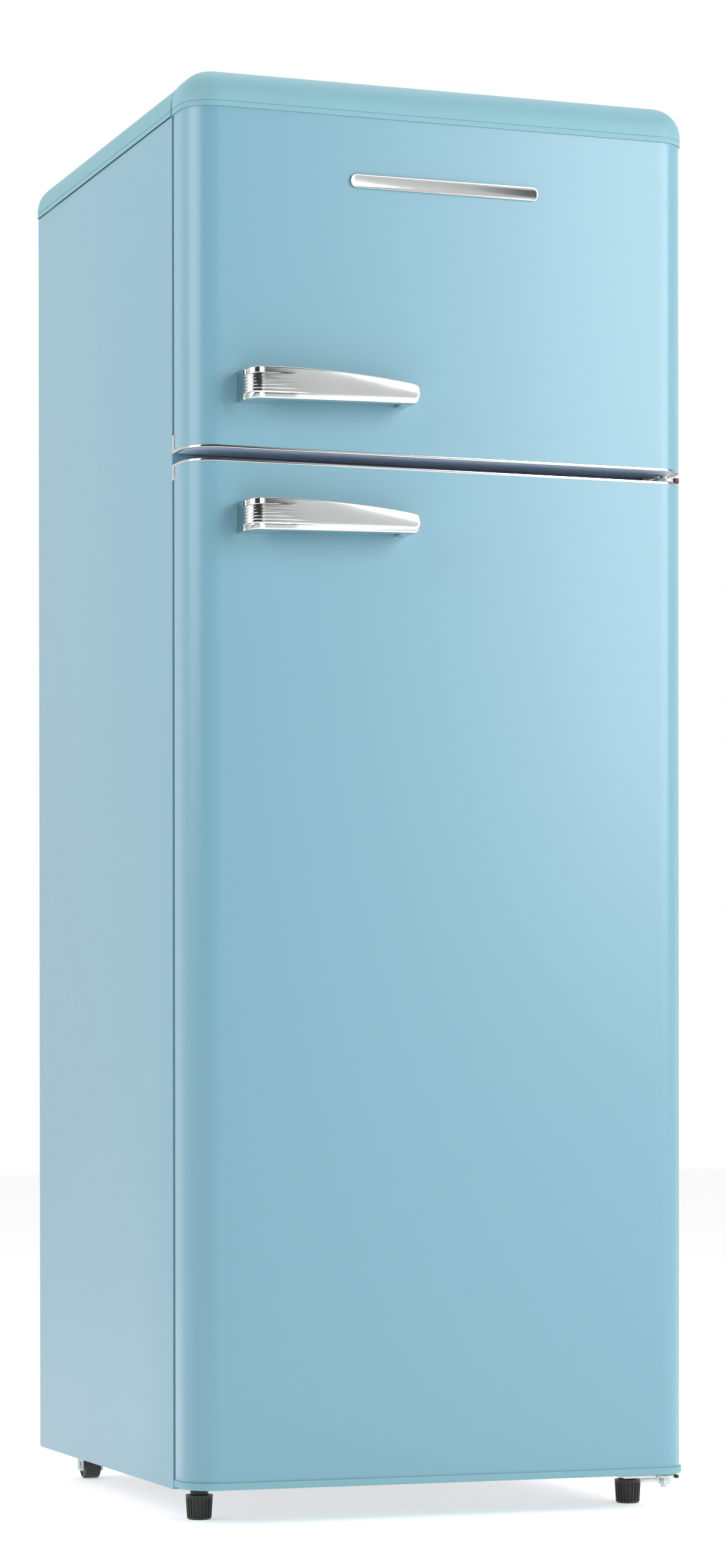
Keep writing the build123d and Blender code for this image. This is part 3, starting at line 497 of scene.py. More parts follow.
def chrome(name):
    f = Finish(name)
    haze = f.noise(35, 4)
    return f.surface(
        Base_Color=f.tones((0.62, 0.64, 0.63), 0.02, 40), Metallic=1.0,
        Roughness=0.07 + haze * 0.05 + f.noise(700, 2) * 0.02,
        Normal=f.bump(f.noise(30, 1), 0.0002, 0.12))


def zinc(name, colour=(0.70, 0.71, 0.70)):
    f = Finish(name)
    cloud = f.noise(60, 4, 0.6)
    return f.surface(
        Base_Color=f.blend(cloud, tuple(c * 0.82 for c in colour), tuple(min(1, c * 1.15) for c in colour)),
        Metallic=0.85, Roughness=0.28 + cloud * 0.18,
        Normal=f.bump(f.noise(1500, 3), 0.00005, 0.4))


def galvanised(name):
    f = Finish(name)
    spangle = f.node("TexVoronoi", None, {"Vector": f.place, "Scale": 95}, "Color")
    level = f.node("SeparateColor", None, {"Color": spangle}, "Red")
    return f.surface(
        Base_Color=f.blend(level, (0.46, 0.48, 0.50), (0.66, 0.68, 0.70)), Metallic=0.8,
        Roughness=0.36 + level * 0.16,
        Normal=f.bump(level + f.noise(800, 2) * 0.4, 0.00005, 0.5))


def bright_screw(name):
    f = Finish(name)
    turned = f.noise(900, 2, 0.5, (1, 1, 6))
    return f.surface(Base_Color=f.tones((0.60, 0.62, 0.63), 0.12, 160), Metallic=0.95,
                     Roughness=0.24 + turned * 0.15, Normal=f.bump(turned, 0.00004, 0.4))


def liner_white(name, colour):
    f = Finish(name)
    return f.surface(
        Base_Color=f.tones(colour, 0.015, 4),
        Roughness=0.28 + f.noise(70, 3) * 0.08,
        Normal=f.bump(f.noise(520, 2), 0.00005, 0.4, f.bump(f.noise(14, 1), 0.0005, 0.2)))


def clear(name, tint, frost):
    f = Finish(name)
    return f.surface(
        Base_Color=f.tones(tint, 0.01, 12), Roughness=frost + f.noise(50, 3) * 0.04,
        Transmission_Weight=0.92, IOR=1.46, Normal=f.bump(f.noise(30, 1), 0.0003, 0.2))


def dark_moulding(name, colour, rough, grain, depth):
    f = Finish(name)
    grit = f.cells(grain)
    return f.surface(
        Base_Color=f.tones(colour, 0.15, 60), Roughness=rough + f.noise(120, 3) * 0.12,
        Normal=f.bump(grit, depth, 0.5))


def rigid_foam(name):
    f = Finish(name)
    pores = f.cells(700)
    return f.surface(Base_Color=f.blend(pores, (0.78, 0.66, 0.38), (0.90, 0.82, 0.58)),
                     Roughness=0.85 + pores * 0.1, Normal=f.bump(pores, 0.0006, 0.8))


def tube_copper(name):
    f = Finish(name)
    tarnish = f.noise(80, 4, 0.6)
    return f.surface(Base_Color=f.blend(tarnish, (0.62, 0.27, 0.14), (0.86, 0.50, 0.34)), Metallic=1.0,
                     Roughness=0.22 + tarnish * 0.25, Normal=f.bump(f.noise(900, 2), 0.00004, 0.3))


def rolled_aluminium(name):
    f = Finish(name)
    grain = f.noise(240, 3, 0.6, (1, 12, 12))
    return f.surface(Base_Color=f.tones((0.76, 0.77, 0.78), 0.05, 30), Metallic=0.95,
                     Roughness=0.30 + grain * 0.15, Normal=f.bump(grain, 0.00005, 0.4))


def floor_paint(name, colour):
    f = Finish(name)
    return f.surface(Base_Color=f.tones(colour, 0.006, 3), Roughness=0.75 + f.noise(30, 3) * 0.06,
                     Emission_Color=(1, 1, 1, 1), Emission_Strength=0.42,
                     Normal=f.bump(f.noise(300, 3), 0.0001, 0.2))


FINISHES = {
    "side_paint": lambda n: enamel(n, tuple(colours().enamel)),
    "door_paint": lambda n: enamel(n, tuple(colours().enamel)),
    "cap_plastic": lambda n: lid_plastic(n, tuple(colours().lid)),
    # The rail's enamel takes the gap colour, which carries painted shade of the gap between the doors.
    "rail_paint": lambda n: enamel(n, tuple(colours().gap)),
    "chrome": chrome,
    "zinc_steel": zinc,
    "galvanised": galvanised,
    "screw_steel": bright_screw,
    "liner_plastic": lambda n: liner_white(n, tuple(colours().liner)),
    # The door end plates are pale liner plastic; their blue tint is painted shade, the blue-grey cast of the gap
    # between the doors.
    "end_plate": lambda n: liner_white(n, (0.62, 0.72, 0.84)),
    "clear_plastic": lambda n: clear(n, (0.93, 0.97, 0.985), 0.05),
    "tray_plastic": lambda n: liner_white(n, (0.58, 0.58, 0.55)),
    "shelf_glass": lambda n: clear(n, (0.86, 0.965, 0.93), 0.01),
    "aluminium": rolled_aluminium,
    "foam": rigid_foam,
    "black_plastic": lambda n: dark_moulding(n, (0.020, 0.019, 0.017), 0.38, 900, 0.00006),
    "roller_plastic": lambda n: dark_moulding(n, (0.030, 0.030, 0.030), 0.42, 700, 0.00005),
    "black_steel": lambda n: dark_moulding(n, (0.012, 0.012, 0.012), 0.26, 350, 0.00006),
    "black_rubber": lambda n: dark_moulding(n, (0.016, 0.016, 0.016), 0.62, 1200, 0.00008),
    "seal_rubber": lambda n: dark_moulding(n, (0.52, 0.56, 0.60), 0.45, 1300, 0.00006),
    "copper": tube_copper,
}


def material_for(slot):
    name = "fridge_" + slot
    return bpy.data.materials.get(name) or FINISHES[slot](name)


# Shapes that several pieces share

def upright_front(y):
    return lambda m, d: abs(d.z) > 0.99 and m.y < y + 1e-4


def upright_back(y):
    return lambda m, d: abs(d.z) > 0.99 and m.y > y - 1e-4


def door_slab(x0, x1, y0, y1, z0, z1, front_radius, back_radius):
    """A door's plan as an upright slab."""
    slab = block(x0, x1, y0, y1, z0, z1)
    bevel(slab, upright_front(y0), front_radius, 16)
    return bevel(slab, upright_back(y1), back_radius, 5)


def open_ends(piece, z0, z1):
    return drop_faces(piece, lambda c, n: abs(n.z) > 0.99 and (abs(c.z - z0) < 1e-4 or abs(c.z - z1) < 1e-4))


def open_tray(x0, x1, y0, y1, z0, z1, wall, corner, floor_round):
    """A bin: rounded corners, one thin wall and a softened rim."""
    tray = block(x0, x1, y0, y1, z0, z1)
    bevel(tray, lambda m, d: abs(d.z) > 0.99, corner, 8)
    bevel(tray, lambda m, d: m.z < z0 + 1e-5 and abs(d.z) < 0.1, floor_round, 5)
    drop_faces(tray, lambda c, n: c.z > z1 - 1e-5)
    thicken(tray, wall)
    return sharp_round(tray, wall * 0.3, 2)


def rounded_block(x0, x1, y0, y1, z0, z1, radius, segments=3):
    return sharp_round(block(x0, x1, y0, y1, z0, z1), radius, segments)


def frame_ring(x0, x1, y0, y1, z0, z1, width):
    """An upright rectangular ring."""
    ring = block(x0, x1, y0, y1, z0, z1)
    return cut(ring, block(x0 + width, x1 - width, y0 - MM, y1 + MM, z0 + width, z1 - width))


def crease(piece, z, depth):
    """A fine groove right round a lid."""
    half = 0.0004
    slice_at(piece, (0, 0, z - half), (0, 0, 1))
    slice_at(piece, (0, 0, z + half), (0, 0, 1))
    return sink(piece, lambda c, n: abs(c.z - z) < half and abs(n.z) < 0.5, 0.00012, -depth)


def tube(points, bend, radius, sides=12, arc=7):
    """A rigid round pipe along straight runs with equal bends."""
    way = [Vector(points[0])]
    for before, corner, after in zip(points, points[1:], points[2:]):
        before, corner, after = Vector(before), Vector(corner), Vector(after)
        a, b = (before - corner).normalized(), (after - corner).normalized()
        reach = bend / math.tan(a.angle(b) / 2)
        start, end = corner + a * reach, corner + b * reach
        for i in range(arc + 1):
            t = i / arc
            way.append(start.lerp(corner, t).lerp(corner.lerp(end, t), t))
    way.append(Vector(points[-1]))
    leave()
    curve = bpy.data.curves.new("pipe", "CURVE")
    curve.dimensions = "3D"
    curve.bevel_depth, curve.bevel_resolution, curve.use_fill_caps = radius, sides // 4, True
    spline = curve.splines.new("POLY")
    spline.points.add(len(way) - 1)
    for point, place in zip(spline.points, way):
        point.co = (*place, 1)
    pipe = bpy.data.objects.new("pipe", curve)
    bpy.context.scene.collection.objects.link(pipe)
    only(pipe)
    bpy.ops.object.convert(target="MESH")
    return bpy.context.object


def loft(sections):
    """A closed skin over a row of loops with the same number of points."""
    mesh = bmesh.new()
    rows = [[mesh.verts.new(p) for p in loop] for loop in sections]
    count = len(rows[0])
    for low, high in zip(rows, rows[1:]):
        for i in range(count):
            j = (i + 1) % count
            mesh.faces.new((low[i], low[j], high[j], high[i]))
    mesh.faces.new(rows[0][::-1])
    mesh.faces.new(rows[-1])
    bmesh.ops.remove_doubles(mesh, verts=mesh.verts, dist=1e-6)
    data = bpy.data.meshes.new("loft")
    mesh.to_mesh(data)
    mesh.free()
    piece = bpy.data.objects.new("loft", data)
    bpy.context.scene.collection.objects.link(piece)
    return piece


# Cabinet

class WORKSHOP_OT_side_panels(bpy.types.Operator):
    """Folded side panels with a front flange and a rear return"""
    bl_idname = "fridge.side_panels"
    bl_label = "Side panels"

    def execute(self, context):
        s = sizes()
        x0, x1, y0, y1, z0, z1 = span("right_side_panel")
        panel = block(x1 - s.sheet, x1, y0, y1, z0, z1)
        slice_at(panel, (0, y0 + s.sheet, 0), (0, 1, 0))
        slice_at(panel, (0, y1 - s.sheet, 0), (0, 1, 0))
        pull(panel, lambda c, n: n.x < -0.9 and c.y < y0 + s.sheet, (x0 - x1 + s.sheet, 0, 0))
        pull(panel, lambda c, n: n.x < -0.9 and c.y > y1 - s.sheet, (-13 * MM, 0, 0))
        bevel(panel, lambda m, d: abs(d.z) > 0.99 and m.x > x1 - 1e-5 and m.y < y0 + 1e-5, s.panel_edge, 5)
        bevel(panel, lambda m, d: abs(d.z) > 0.99 and m.x > x1 - 1e-5 and m.y > y1 - 1e-5, s.sheet * 0.9, 3)
        outline = block(x0 - 0.01, x1 + 0.01, y0 - 0.01, y1, z0, z1 + 0.01)
        bevel(outline, lambda m, d: abs(d.x) > 0.99 and m.y > y1 - 1e-5 and m.z < z0 + 1e-5, s.panel_foot, 6)
        combine(panel, outline, "INTERSECT")
        other = mirrored(panel)
        finish(panel, "right_side_sheet", "right_side_panel")
        finish(other, "left_side_sheet", "left_side_panel")
        return {"FINISHED"}


class WORKSHOP_OT_top_cover(bpy.types.Operator):
    """Moulded lid over the cabinet, with a crease round its lower edge"""
    bl_idname = "fridge.top_cover"
    bl_label = "Top cover"

    def execute(self, context):
        s = sizes()
        x0, x1, y0, y1, z0, z1 = span("top_cover")
        lid = block(x0, x1, y0, y1, z0, z1)
        bevel(lid, lambda m, d: abs(d.y) > 0.99 and m.z > z1 - 1e-5, s.lid_round, 14)
        bevel(lid, lambda m, d: m.y > y1 - 1e-5 and m.z > z0 + 1e-4, 3.5 * MM, 4)
        bevel(lid, lambda m, d: m.y < y0 + 1e-5 and m.z > z0 + 1e-4, 1.2 * MM, 3)
        sink(lid, lambda c, n: n.z < -0.99, 3 * MM, -6.8 * MM)
        crease(lid, z0 + s.crease_height, s.crease_depth)
        cut(lid, block(0.200, 0.268, y0 - 0.002, y0 + 0.004, z0 - 0.002, z0 + 0.0055))
        finish(lid, "moulded_lid", "top_cover")
        return {"FINISHED"}


class WORKSHOP_OT_rear(bpy.types.Operator):
    """Coil, wires and clips on the back"""
    bl_idname = "fridge.rear_coil"
    bl_label = "Rear coil"

    def execute(self, context):
        runs, pitch, radius = 19, 60 * MM, 2.4 * MM
        start = 300 * MM
        y = FRONT + 502 * MM
        reach = span("condenser")[1] - radius
        points = []
        for i in range(runs):
            ends = (-reach, reach) if i % 2 == 0 else (reach, -reach)
            points += [(ends[0], y, start + i * pitch), (ends[1], y, start + i * pitch)]
        coil = tube(points, 20 * MM, radius)
        wire = rod(0.8 * MM, (-0.22, y + 3.2 * MM, 0.841), 1.102, "Z", 8)
        bevel(wire, lambda m, d: abs(d.z) < 0.5, 0.2 * MM, 1)
        wires = [wire] + [copied(wire, (i * 20 * MM, 0, 0)) for i in range(1, 23)]
        clips = []
        for x in (-0.2, 0.2):
            for z in (0.33, 0.81, 1.35):
                clips.append(rounded_block(x - 0.006, x + 0.006, y - 13 * MM, y - 2.5 * MM,
                                           z - 0.010, z + 0.010, 1.2 * MM))
        finish(joined([coil, *wires, *clips]), "rear_coil", "condenser")
        return {"FINISHED"}


class WORKSHOP_OT_liners(bpy.types.Operator):
    """Moulded linings of the two food spaces, with their rims and shelf ledges"""
    bl_idname = "fridge.liners"
    bl_label = "Cabinet linings"

    def execute(self, context):
        self.line("fridge_liner", 0.222, 0.075, 1.046, 0.440, 0.2, (0.293, 0.450, 0.650, 0.850), (0.108, 0.426))
        self.line("freezer_liner", 0.218, 1.116, 1.388, 0.430, 0.0, (1.250,), (0.060, 0.400))
        return {"FINISHED"}

    def line(self, node, half, low, high, depth, hump, ledges, reach):
        s = sizes()
        x0, x1, y0, y1, z0, z1 = span(node)
        if hump:
            step, shelf = FRONT + 0.292, 0.285
            room = block(-half, half, y0, step, low, high)
            slice_at(room, (0, 0, shelf), (0, 0, 1))
            pull(room, lambda c, n: n.y > 0.9 and c.z > shelf, (0, FRONT + depth - step, 0))
        else:
            room = block(-half, half, y0, FRONT + depth, low, high)
        drop_faces(room, lambda c, n: n.y < -0.9 and c.y < y0 + 1e-4)
        bevel(room, lambda m, d: m.y > y0 + 1e-4, s.liner_corner, 6)
        rim = lambda m, d: m.y < y0 + 1e-5
        pick_edges(room, rim)
        bpy.ops.mesh.extrude_edges_move(TRANSFORM_OT_translate={"value": (0, 0, 0)})
        middle = (low + high) / 2
        rim_high = 14 * MM
        grow = ((0.250) / half, 1, (high - middle + rim_high) / (high - middle))
        bpy.ops.transform.resize(value=grow, center_override=(0, y0, middle))
        leave()
        bevel(room, lambda m, d: m.y < y0 + 1e-5 and abs(m.x) < half + 1e-4 and low - 1e-4 < m.z < high + 1e-4,
              2.5 * MM, 4)
        thicken(room, s.liner, inward=False)
        ribs = []
        for level in ledges:
            for side in (-1, 1):
                ends = sorted((side * (half - 6 * MM), side * (half + 1 * MM)))
                ribs.append(rounded_block(*ends, FRONT + reach[0], FRONT + reach[1], level - 8 * MM, level, 1.6 * MM))
        finish(joined([room, *ribs]), node + "_moulding", node)


class WORKSHOP_OT_shelves(bpy.types.Operator):
    """Glass shelves, their edge strips and the freezer's wire shelf"""
    bl_idname = "fridge.shelves"
    bl_label = "Shelves"

    def execute(self, context):
        panes = []
        for box in solid_spans("glass_shelves"):
            pane = block(*box)
            bevel(pane, lambda m, d: abs(d.z) > 0.99, 4 * MM, 4)
            panes.append(sharp_round(pane, 0.8 * MM, 2))
        finish(joined(panes), "glass_panes", "glass_shelves")
        strips = []
        for box in solid_spans("shelf_trims"):
            strip = block(*box)
            bevel(strip, lambda m, d: abs(d.x) > 0.99, 1.6 * MM, 4)
            strips.append(sharp_round(strip, 0.8 * MM, 2))
        finish(joined(strips), "shelf_edge_strips", "shelf_trims")
        x0, x1, y0, y1, z0, z1 = span("freezer_shelf")
        middle = (z0 + z1) / 2
        rail = rod(3 * MM, (0, y0 + 3 * MM, middle), x1 - x0, "X", 20)
        bevel(rail, lambda m, d: abs(d.x) < 0.5, 1.2 * MM, 3)
        rails = [rail, copied(rail, (0, y1 - y0 - 6 * MM, 0))]
        first, count = x0 + 4 * MM, 17
        wire = rod(2 * MM, (first, (y0 + y1) / 2, middle), y1 - y0 - 6 * MM, "Y", 14)
        bevel(wire, lambda m, d: abs(d.y) < 0.5, 0.6 * MM, 2)
        pitch = (x1 - x0 - 8 * MM) / (count - 1)
        wires = [wire] + [copied(wire, (i * pitch, 0, 0)) for i in range(1, count)]
        finish(joined(rails + wires), "freezer_wire_shelf", "freezer_shelf")
        return {"FINISHED"}


class WORKSHOP_OT_controls(bpy.types.Operator):
    """Control box, dial, light cover and door switch inside the fridge"""
    bl_idname = "fridge.controls"
    bl_label = "Controls and light"

    def execute(self, context):
        x0, x1, y0, y1, z0, z1 = span("thermostat_housing")
        case = block(x0, x1, y0, y1, z0, z1)
        bevel(case, lambda m, d: m.x < x0 + 1e-4 or (abs(d.x) > 0.99), 5 * MM, 5)
        sink(case, lambda c, n: n.x < -0.99 and c.x < x0 + 1e-4, 3 * MM, -0.6 * MM)
        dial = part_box("thermostat_knob")
        ky, kz = (dial[0].y + dial[1].y) / 2, 0.995
        cut(case, rod(3.6 * MM, (x0, ky, kz), 6 * MM, "X", 32))
        finish(case, "control_box", "thermostat_housing")
        kx0 = dial[0].x
        knob = rod(17.6 * MM, (kx0 + 7.5 * MM, ky, kz), 12 * MM, "X", 80)
        slice_at(knob, (kx0 + 4 * MM, 0, 0), (1, 0, 0))
        slice_at(knob, (kx0 + 11 * MM, 0, 0), (1, 0, 0))

        def grip(c, n):
            turn = math.atan2(c.z - kz, c.y - ky) / (2 * math.pi) * 80
            return abs(n.x) < 0.5 and kx0 + 4 * MM < c.x < kx0 + 11 * MM and math.floor(turn) % 4 < 2

        sink(knob, grip, 0.15 * MM, -0.7 * MM)
        bevel(knob, lambda m, d: m.x < kx0 + 1.6 * MM and abs(d.x) < 0.5, 1.2 * MM, 4)
        pointer = rounded_block(kx0, kx0 + 3 * MM, ky - 1 * MM, ky + 1 * MM, kz + 4 * MM, kz + 14 * MM, 0.4 * MM)
        shaft = rod(3.4 * MM, (kx0 + 22 * MM, ky, kz), 18 * MM, "X", 32)
        bevel(shaft, lambda m, d: abs(d.x) < 0.5, 0.4 * MM, 2)
        finish(joined([knob, pointer, shaft]), "control_dial", "thermostat_knob")
        x0, x1, y0, y1, z0, z1 = span("lamp_cover")
        hood = block(x0, x1, y0, y1, z0, z1)
        bevel(hood, lambda m, d: m.x < x0 + 1e-4, 8 * MM, 6)
        drop_faces(hood, lambda c, n: n.x > 0.99)
        thicken(hood, 1.6 * MM)
        for i in range(2, 11):
            slice_at(hood, (0, y0 + i * (y1 - y0) / 12, 0), (0, 1, 0))
        for i in range(2, 10, 2):
            low, high = y0 + i * (y1 - y0) / 12, y0 + (i + 1) * (y1 - y0) / 12
            sink(hood, lambda c, n: n.x < -0.9 and c.x < x0 + 1e-4 and low < c.y < high, 0.5 * MM, -0.5 * MM)
        finish(hood, "light_hood", "lamp_cover")
        x0, x1, y0, y1, z0, z1 = span("light_switch_housing")
        box = block(x0, x1, y0, y1, z0, z1)
        bevel(box, lambda m, d: m.z < z0 + 1e-4 or (abs(d.z) > 0.99), 2.5 * MM, 4)
        px0, px1, py0, py1, pz0, pz1 = span("light_switch_plunger")
        px, pz, radius = (px0 + px1) / 2, (pz0 + pz1) / 2, (px1 - px0) / 2
        low, high = y0 - 2 * MM, py1 + 4.5 * MM
        cut(box, rod(radius + 0.3 * MM, (px, (low + high) / 2, pz), high - low, "Y", 32))
        finish(box, "switch_box", "light_switch_housing")
        stem = rod(radius, (px, (py0 + py1) / 2, pz), py1 - py0, "Y", 40)
        bevel(stem, lambda m, d: abs(d.y) < 0.5 and m.y < py0 + 1e-4, 2.2 * MM, 5)
        finish(stem, "switch_pin", "light_switch_plunger")
        return {"FINISHED"}


class WORKSHOP_OT_crisper(bpy.types.Operator):
    """Vegetable drawer with a finger lip"""
    bl_idname = "fridge.crisper"
    bl_label = "Vegetable drawer"

    def execute(self, context):
        x0, x1, y0, y1, z0, z1 = span("crisper_drawer")
        lip = 5 * MM
        drawer = open_tray(x0, x1, y0 + lip, y1, z0, z1, 2.5 * MM, 8 * MM, 7 * MM)
        handle = block(-0.070, 0.070, y0, y0 + lip + 0.5 * MM, 0.250, 0.256)
        bevel(handle, lambda m, d: abs(d.z) > 0.99 and m.y < y0 + 1e-4, 4 * MM, 5)
        sharp_round(handle, 0.8 * MM, 2)
        finish(joined([drawer, handle]), "vegetable_drawer", "crisper_drawer")
        return {"FINISHED"}


# Doors

class WORKSHOP_OT_door_skins(bpy.types.Operator):
    """Bent steel fronts with round corners and rear lips"""
    bl_idname = "fridge.door_skins"
    bl_label = "Door skins"

    def execute(self, context):
        s = sizes()
        for node, name in (("freezer_door_skin", "freezer_door_sheet"), ("fridge_door_skin", "fridge_door_sheet")):
            x0, x1, y0, y1, z0, z1 = span(node)
            skin = door_slab(x0, x1, y0, y1, z0, z1, s.door_corner, s.door_back_corner)
            lip = x1 - 8.5 * MM
            for x in (-lip, lip):
                slice_at(skin, (x, 0, 0), (1, 0, 0))
            drop_faces(skin, lambda c, n: n.y > 0.99 and abs(c.x) < lip)
            open_ends(skin, z0, z1)
            finish(thicken(skin, s.sheet), name, node)
        return {"FINISHED"}


class WORKSHOP_OT_door_cap(bpy.types.Operator):
    """Moulded cap over the freezer door and the base under the fridge door"""
    bl_idname = "fridge.door_caps"
    bl_label = "Door cap and base"

    def execute(self, context):
        s = sizes()
        pin = Vector(hinge_pin())
        x0, x1, y0, y1, z0, z1 = span("freezer_door_cap")
        cap = block(x0, x1, y0, y1, z0, z1)
        bevel(cap, upright_front(y0), s.door_corner + 1.5 * MM, 18)
        bevel(cap, lambda m, d: m.z > z1 - 1e-5 and m.y < y1 - 1e-5, s.cap_round, 14)
        bevel(cap, lambda m, d: m.y > y1 - 1e-5 and m.z > z0 + 1e-4, 1.5 * MM, 3)
        crease(cap, z0 + s.crease_height, s.crease_depth)
        wall = 3 * MM
        hollow = block(x0 + wall, x1 - wall, y0 + wall, y1 - wall, z0 - 10 * MM, z0 + 6.5 * MM)
        bevel(hollow, upright_front(y0 + wall), s.door_corner - 1.5 * MM, 18)
        cut(cap, hollow)
        sweep = rod(42 * MM, (pin.x, pin.y, z0 + 2.5 * MM), 7 * MM, "Z", 96)
        reach = block(pin.x - 0.05, pin.x + 0.05, pin.y - 11 * MM, pin.y + 0.05, z0 - 0.01, z0 + 0.02)
        combine(sweep, reach, "INTERSECT")
        cut(cap, sweep)
        finish(cap, "freezer_door_lid", "freezer_door_cap")
        x0, x1, y0, y1, z0, z1 = span("fridge_door_base_cap")
        base = door_slab(x0, x1, y0, y1, z0, z1, s.door_corner, s.door_back_corner)
        bevel(base, lambda m, d: m.z < z0 + 1e-5, 2 * MM, 4)
        cut(base, rod(6.5 * MM, (pin.x, pin.y, (z0 + z1) / 2), 0.02, "Z", 40))
        finish(base, "fridge_door_base", "fridge_door_base_cap")
        return {"FINISHED"}


class WORKSHOP_OT_trims(bpy.types.Operator):
    """Bright bands at the meeting ends of the doors, with a clip at the rear left"""
    bl_idname = "fridge.trims"
    bl_label = "Bright bands"

    def execute(self, context):
        s = sizes()
        band_high = 2.7 * MM
        for node, skin, name in (("freezer_door_trim", "freezer_door_skin", "freezer_door_band"),
                                 ("fridge_door_trim", "fridge_door_skin", "fridge_door_band")):
            x0, x1, y0, y1, z0, z1 = span(node)
            back = span(skin)[3]
            low = z0 if node.startswith("freezer") else z1 - band_high
            band = door_slab(x0, x1, y0, back, low, low + band_high, s.door_corner + 0.4 * MM, s.door_back_corner)
            open_ends(band, low, low + band_high)
            thicken(band, s.trim_width)
            sharp_round(band, 0.45 * MM, 2)
            clip = rounded_block(x0, x0 + 2 * MM, back - 4 * MM, y1, z0, z1, 0.45 * MM, 2)
            finish(joined([band, clip]), name, node)
        return {"FINISHED"}


class WORKSHOP_OT_handles(bpy.types.Operator):
    """Bright grips whose nose is fluted and whose top line falls to the right"""
    bl_idname = "fridge.handles"
    bl_label = "Handles"

    def execute(self, context):
        for node, name in (("freezer_handle", "freezer_grip"), ("fridge_handle", "fridge_grip")):
            finish(self.grip(node), name, node, angle=28)
        return {"FINISHED"}

    def grip(self, node):
        s = sizes()
        x0, x1, y0, y1, z0, z1 = span(node)
        mm = lambda x: (x - x0) / MM
        length = mm(x1)
        bar_back = y0 + 10.5 * MM

        def low(x):
            return z0 + 4.2 * MM * mm(x) / length

        def high(x):
            u = mm(x)
            if u < 18:
                return z0 + (31.0 + 2.3 * math.sin(u / 18 * math.pi / 2)) * MM
            a, b, c = 18.0, 95.0, length
            return z0 + MM * (33.3 * (u - b) * (u - c) / ((a - b) * (a - c))
                              + 32.4 * (u - a) * (u - c) / ((b - a) * (b - c))
                              + 24.3 * (u - a) * (u - b) / ((c - a) * (c - b)))

        def front(u):
            if u < 13:
                w = 1 - max(u, 0) / 13
                return y0 + 14 * MM * (1 - math.sqrt(max(0.0, 1 - w * w)))
            return y0 + 3 * MM * ((u - 13) / (length - 13)) ** 2

        def back(u):
            if u <= 33 or u >= length - 15:
                return y1
            if u <= 45:
                w = 1 - (u - 33) / 12
                return bar_back + 14 * MM * (1 - math.sqrt(max(0.0, 1 - w * w)))
            if u > length - 18:
                w = (u - (length - 18)) / 3
                return bar_back + (y1 - bar_back) * w ** 3
            return bar_back

        stations = [0.0, 0.12, 0.4, 0.9, 1.6, 2.5, 3.6, 5.0, 6.6, 8.4, 10.5, 13.0, 16, 19, 22, 25, 28, 31, 33,
                    33.01, 33.4, 34.2, 35.4, 37, 39, 42, 45]
        stations += [45 + (length - 18 - 45) * i / 34 for i in range(1, 35)]
        stations += [length - 18 + 3 * i / 6 for i in range(1, 7)]
        stations += [length - 12, length - 9, length - 6.5, length - 4.8, length - 3.6, length - 2.6, length - 1.7,
                     length - 1.0, length - 0.45, length - 0.12, length]
        count, round_edge = 84, 1.7
        sections = []
        for u in stations:
            x = x0 + u * MM
            fade = max(0.0, 1 - u * MM / s.rib_fade)
            fade = fade * fade * (3 - 2 * fade)
            step_fade = max(0.0, 1 - u / 52)
            corner = 5.5 - math.sqrt(max(0.0, 5.5 ** 2 - max(0.0, 5.5 - (length - u)) ** 2))
            bottom, top = low(x) + corner * MM, high(x) - corner * MM
            edge = min(round_edge * MM, (top - bottom) / 3)
            end_soft = 0.9 * MM * max(0.0, 1 - (length - u) / 0.9) ** 2
            loop = []
            for i in range(count + 1):
                t = i / count
                z = bottom + (top - bottom) * t
                side = min(z - bottom, top - z)
                turned = edge - math.sqrt(max(0.0, edge ** 2 - max(0.0, edge - side) ** 2))
                crown = 1.5 * MM * (2 * t - 1) ** 2
                centre = min(1.0, max(0.0, min((t - 0.175) / 0.02, (0.80 - t) / 0.02)))
                groove = 0.0
                if centre > 0:
                    phase = (t - 0.185) / (0.79 - 0.185) * s.handle_ribs
                    groove = 0.55 * MM * (0.5 + 0.5 * math.cos(2 * math.pi * phase)) * fade
                band = (1 - centre) * 2.6 * MM * step_fade
                inset = groove + band
                shift = inset / MM
                y = front(u - shift) if u < 13 + shift else front(u) + inset * 0.45
                y = max(y, front(u)) + crown + turned + end_soft
                loop.append((x, min(y, y1 - 0.5 * MM), z))
            rear = back(u)
            loop += [(x, rear, top), (x, rear, bottom)]
            sections.append(loop)
        return loft(sections)


class WORKSHOP_OT_nameplate(bpy.types.Operator):
    """Blank bright bar with a raised border"""
    bl_idname = "fridge.nameplate"
    bl_label = "Blank nameplate"

    def execute(self, context):
        x0, x1, y0, y1, z0, z1 = span("nameplate")
        bar = block(x0, x1, y0, y1, z0, z1)
        bevel(bar, lambda m, d: abs(d.y) > 0.99, 6.4 * MM, 10)
        sink(bar, lambda c, n: n.y < -0.99, 0.9 * MM, 0)
        middle = (z0 + z1) / 2
        sink(bar, lambda c, n: n.y < -0.99 and abs(c.x) < 1e-3 and abs(c.z - middle) < 1e-4,
             0.25 * MM, -0.5 * MM)
        sharp_round(bar, 0.3 * MM, 3)
        finish(bar, "blank_bar", "nameplate")
        return {"FINISHED"}


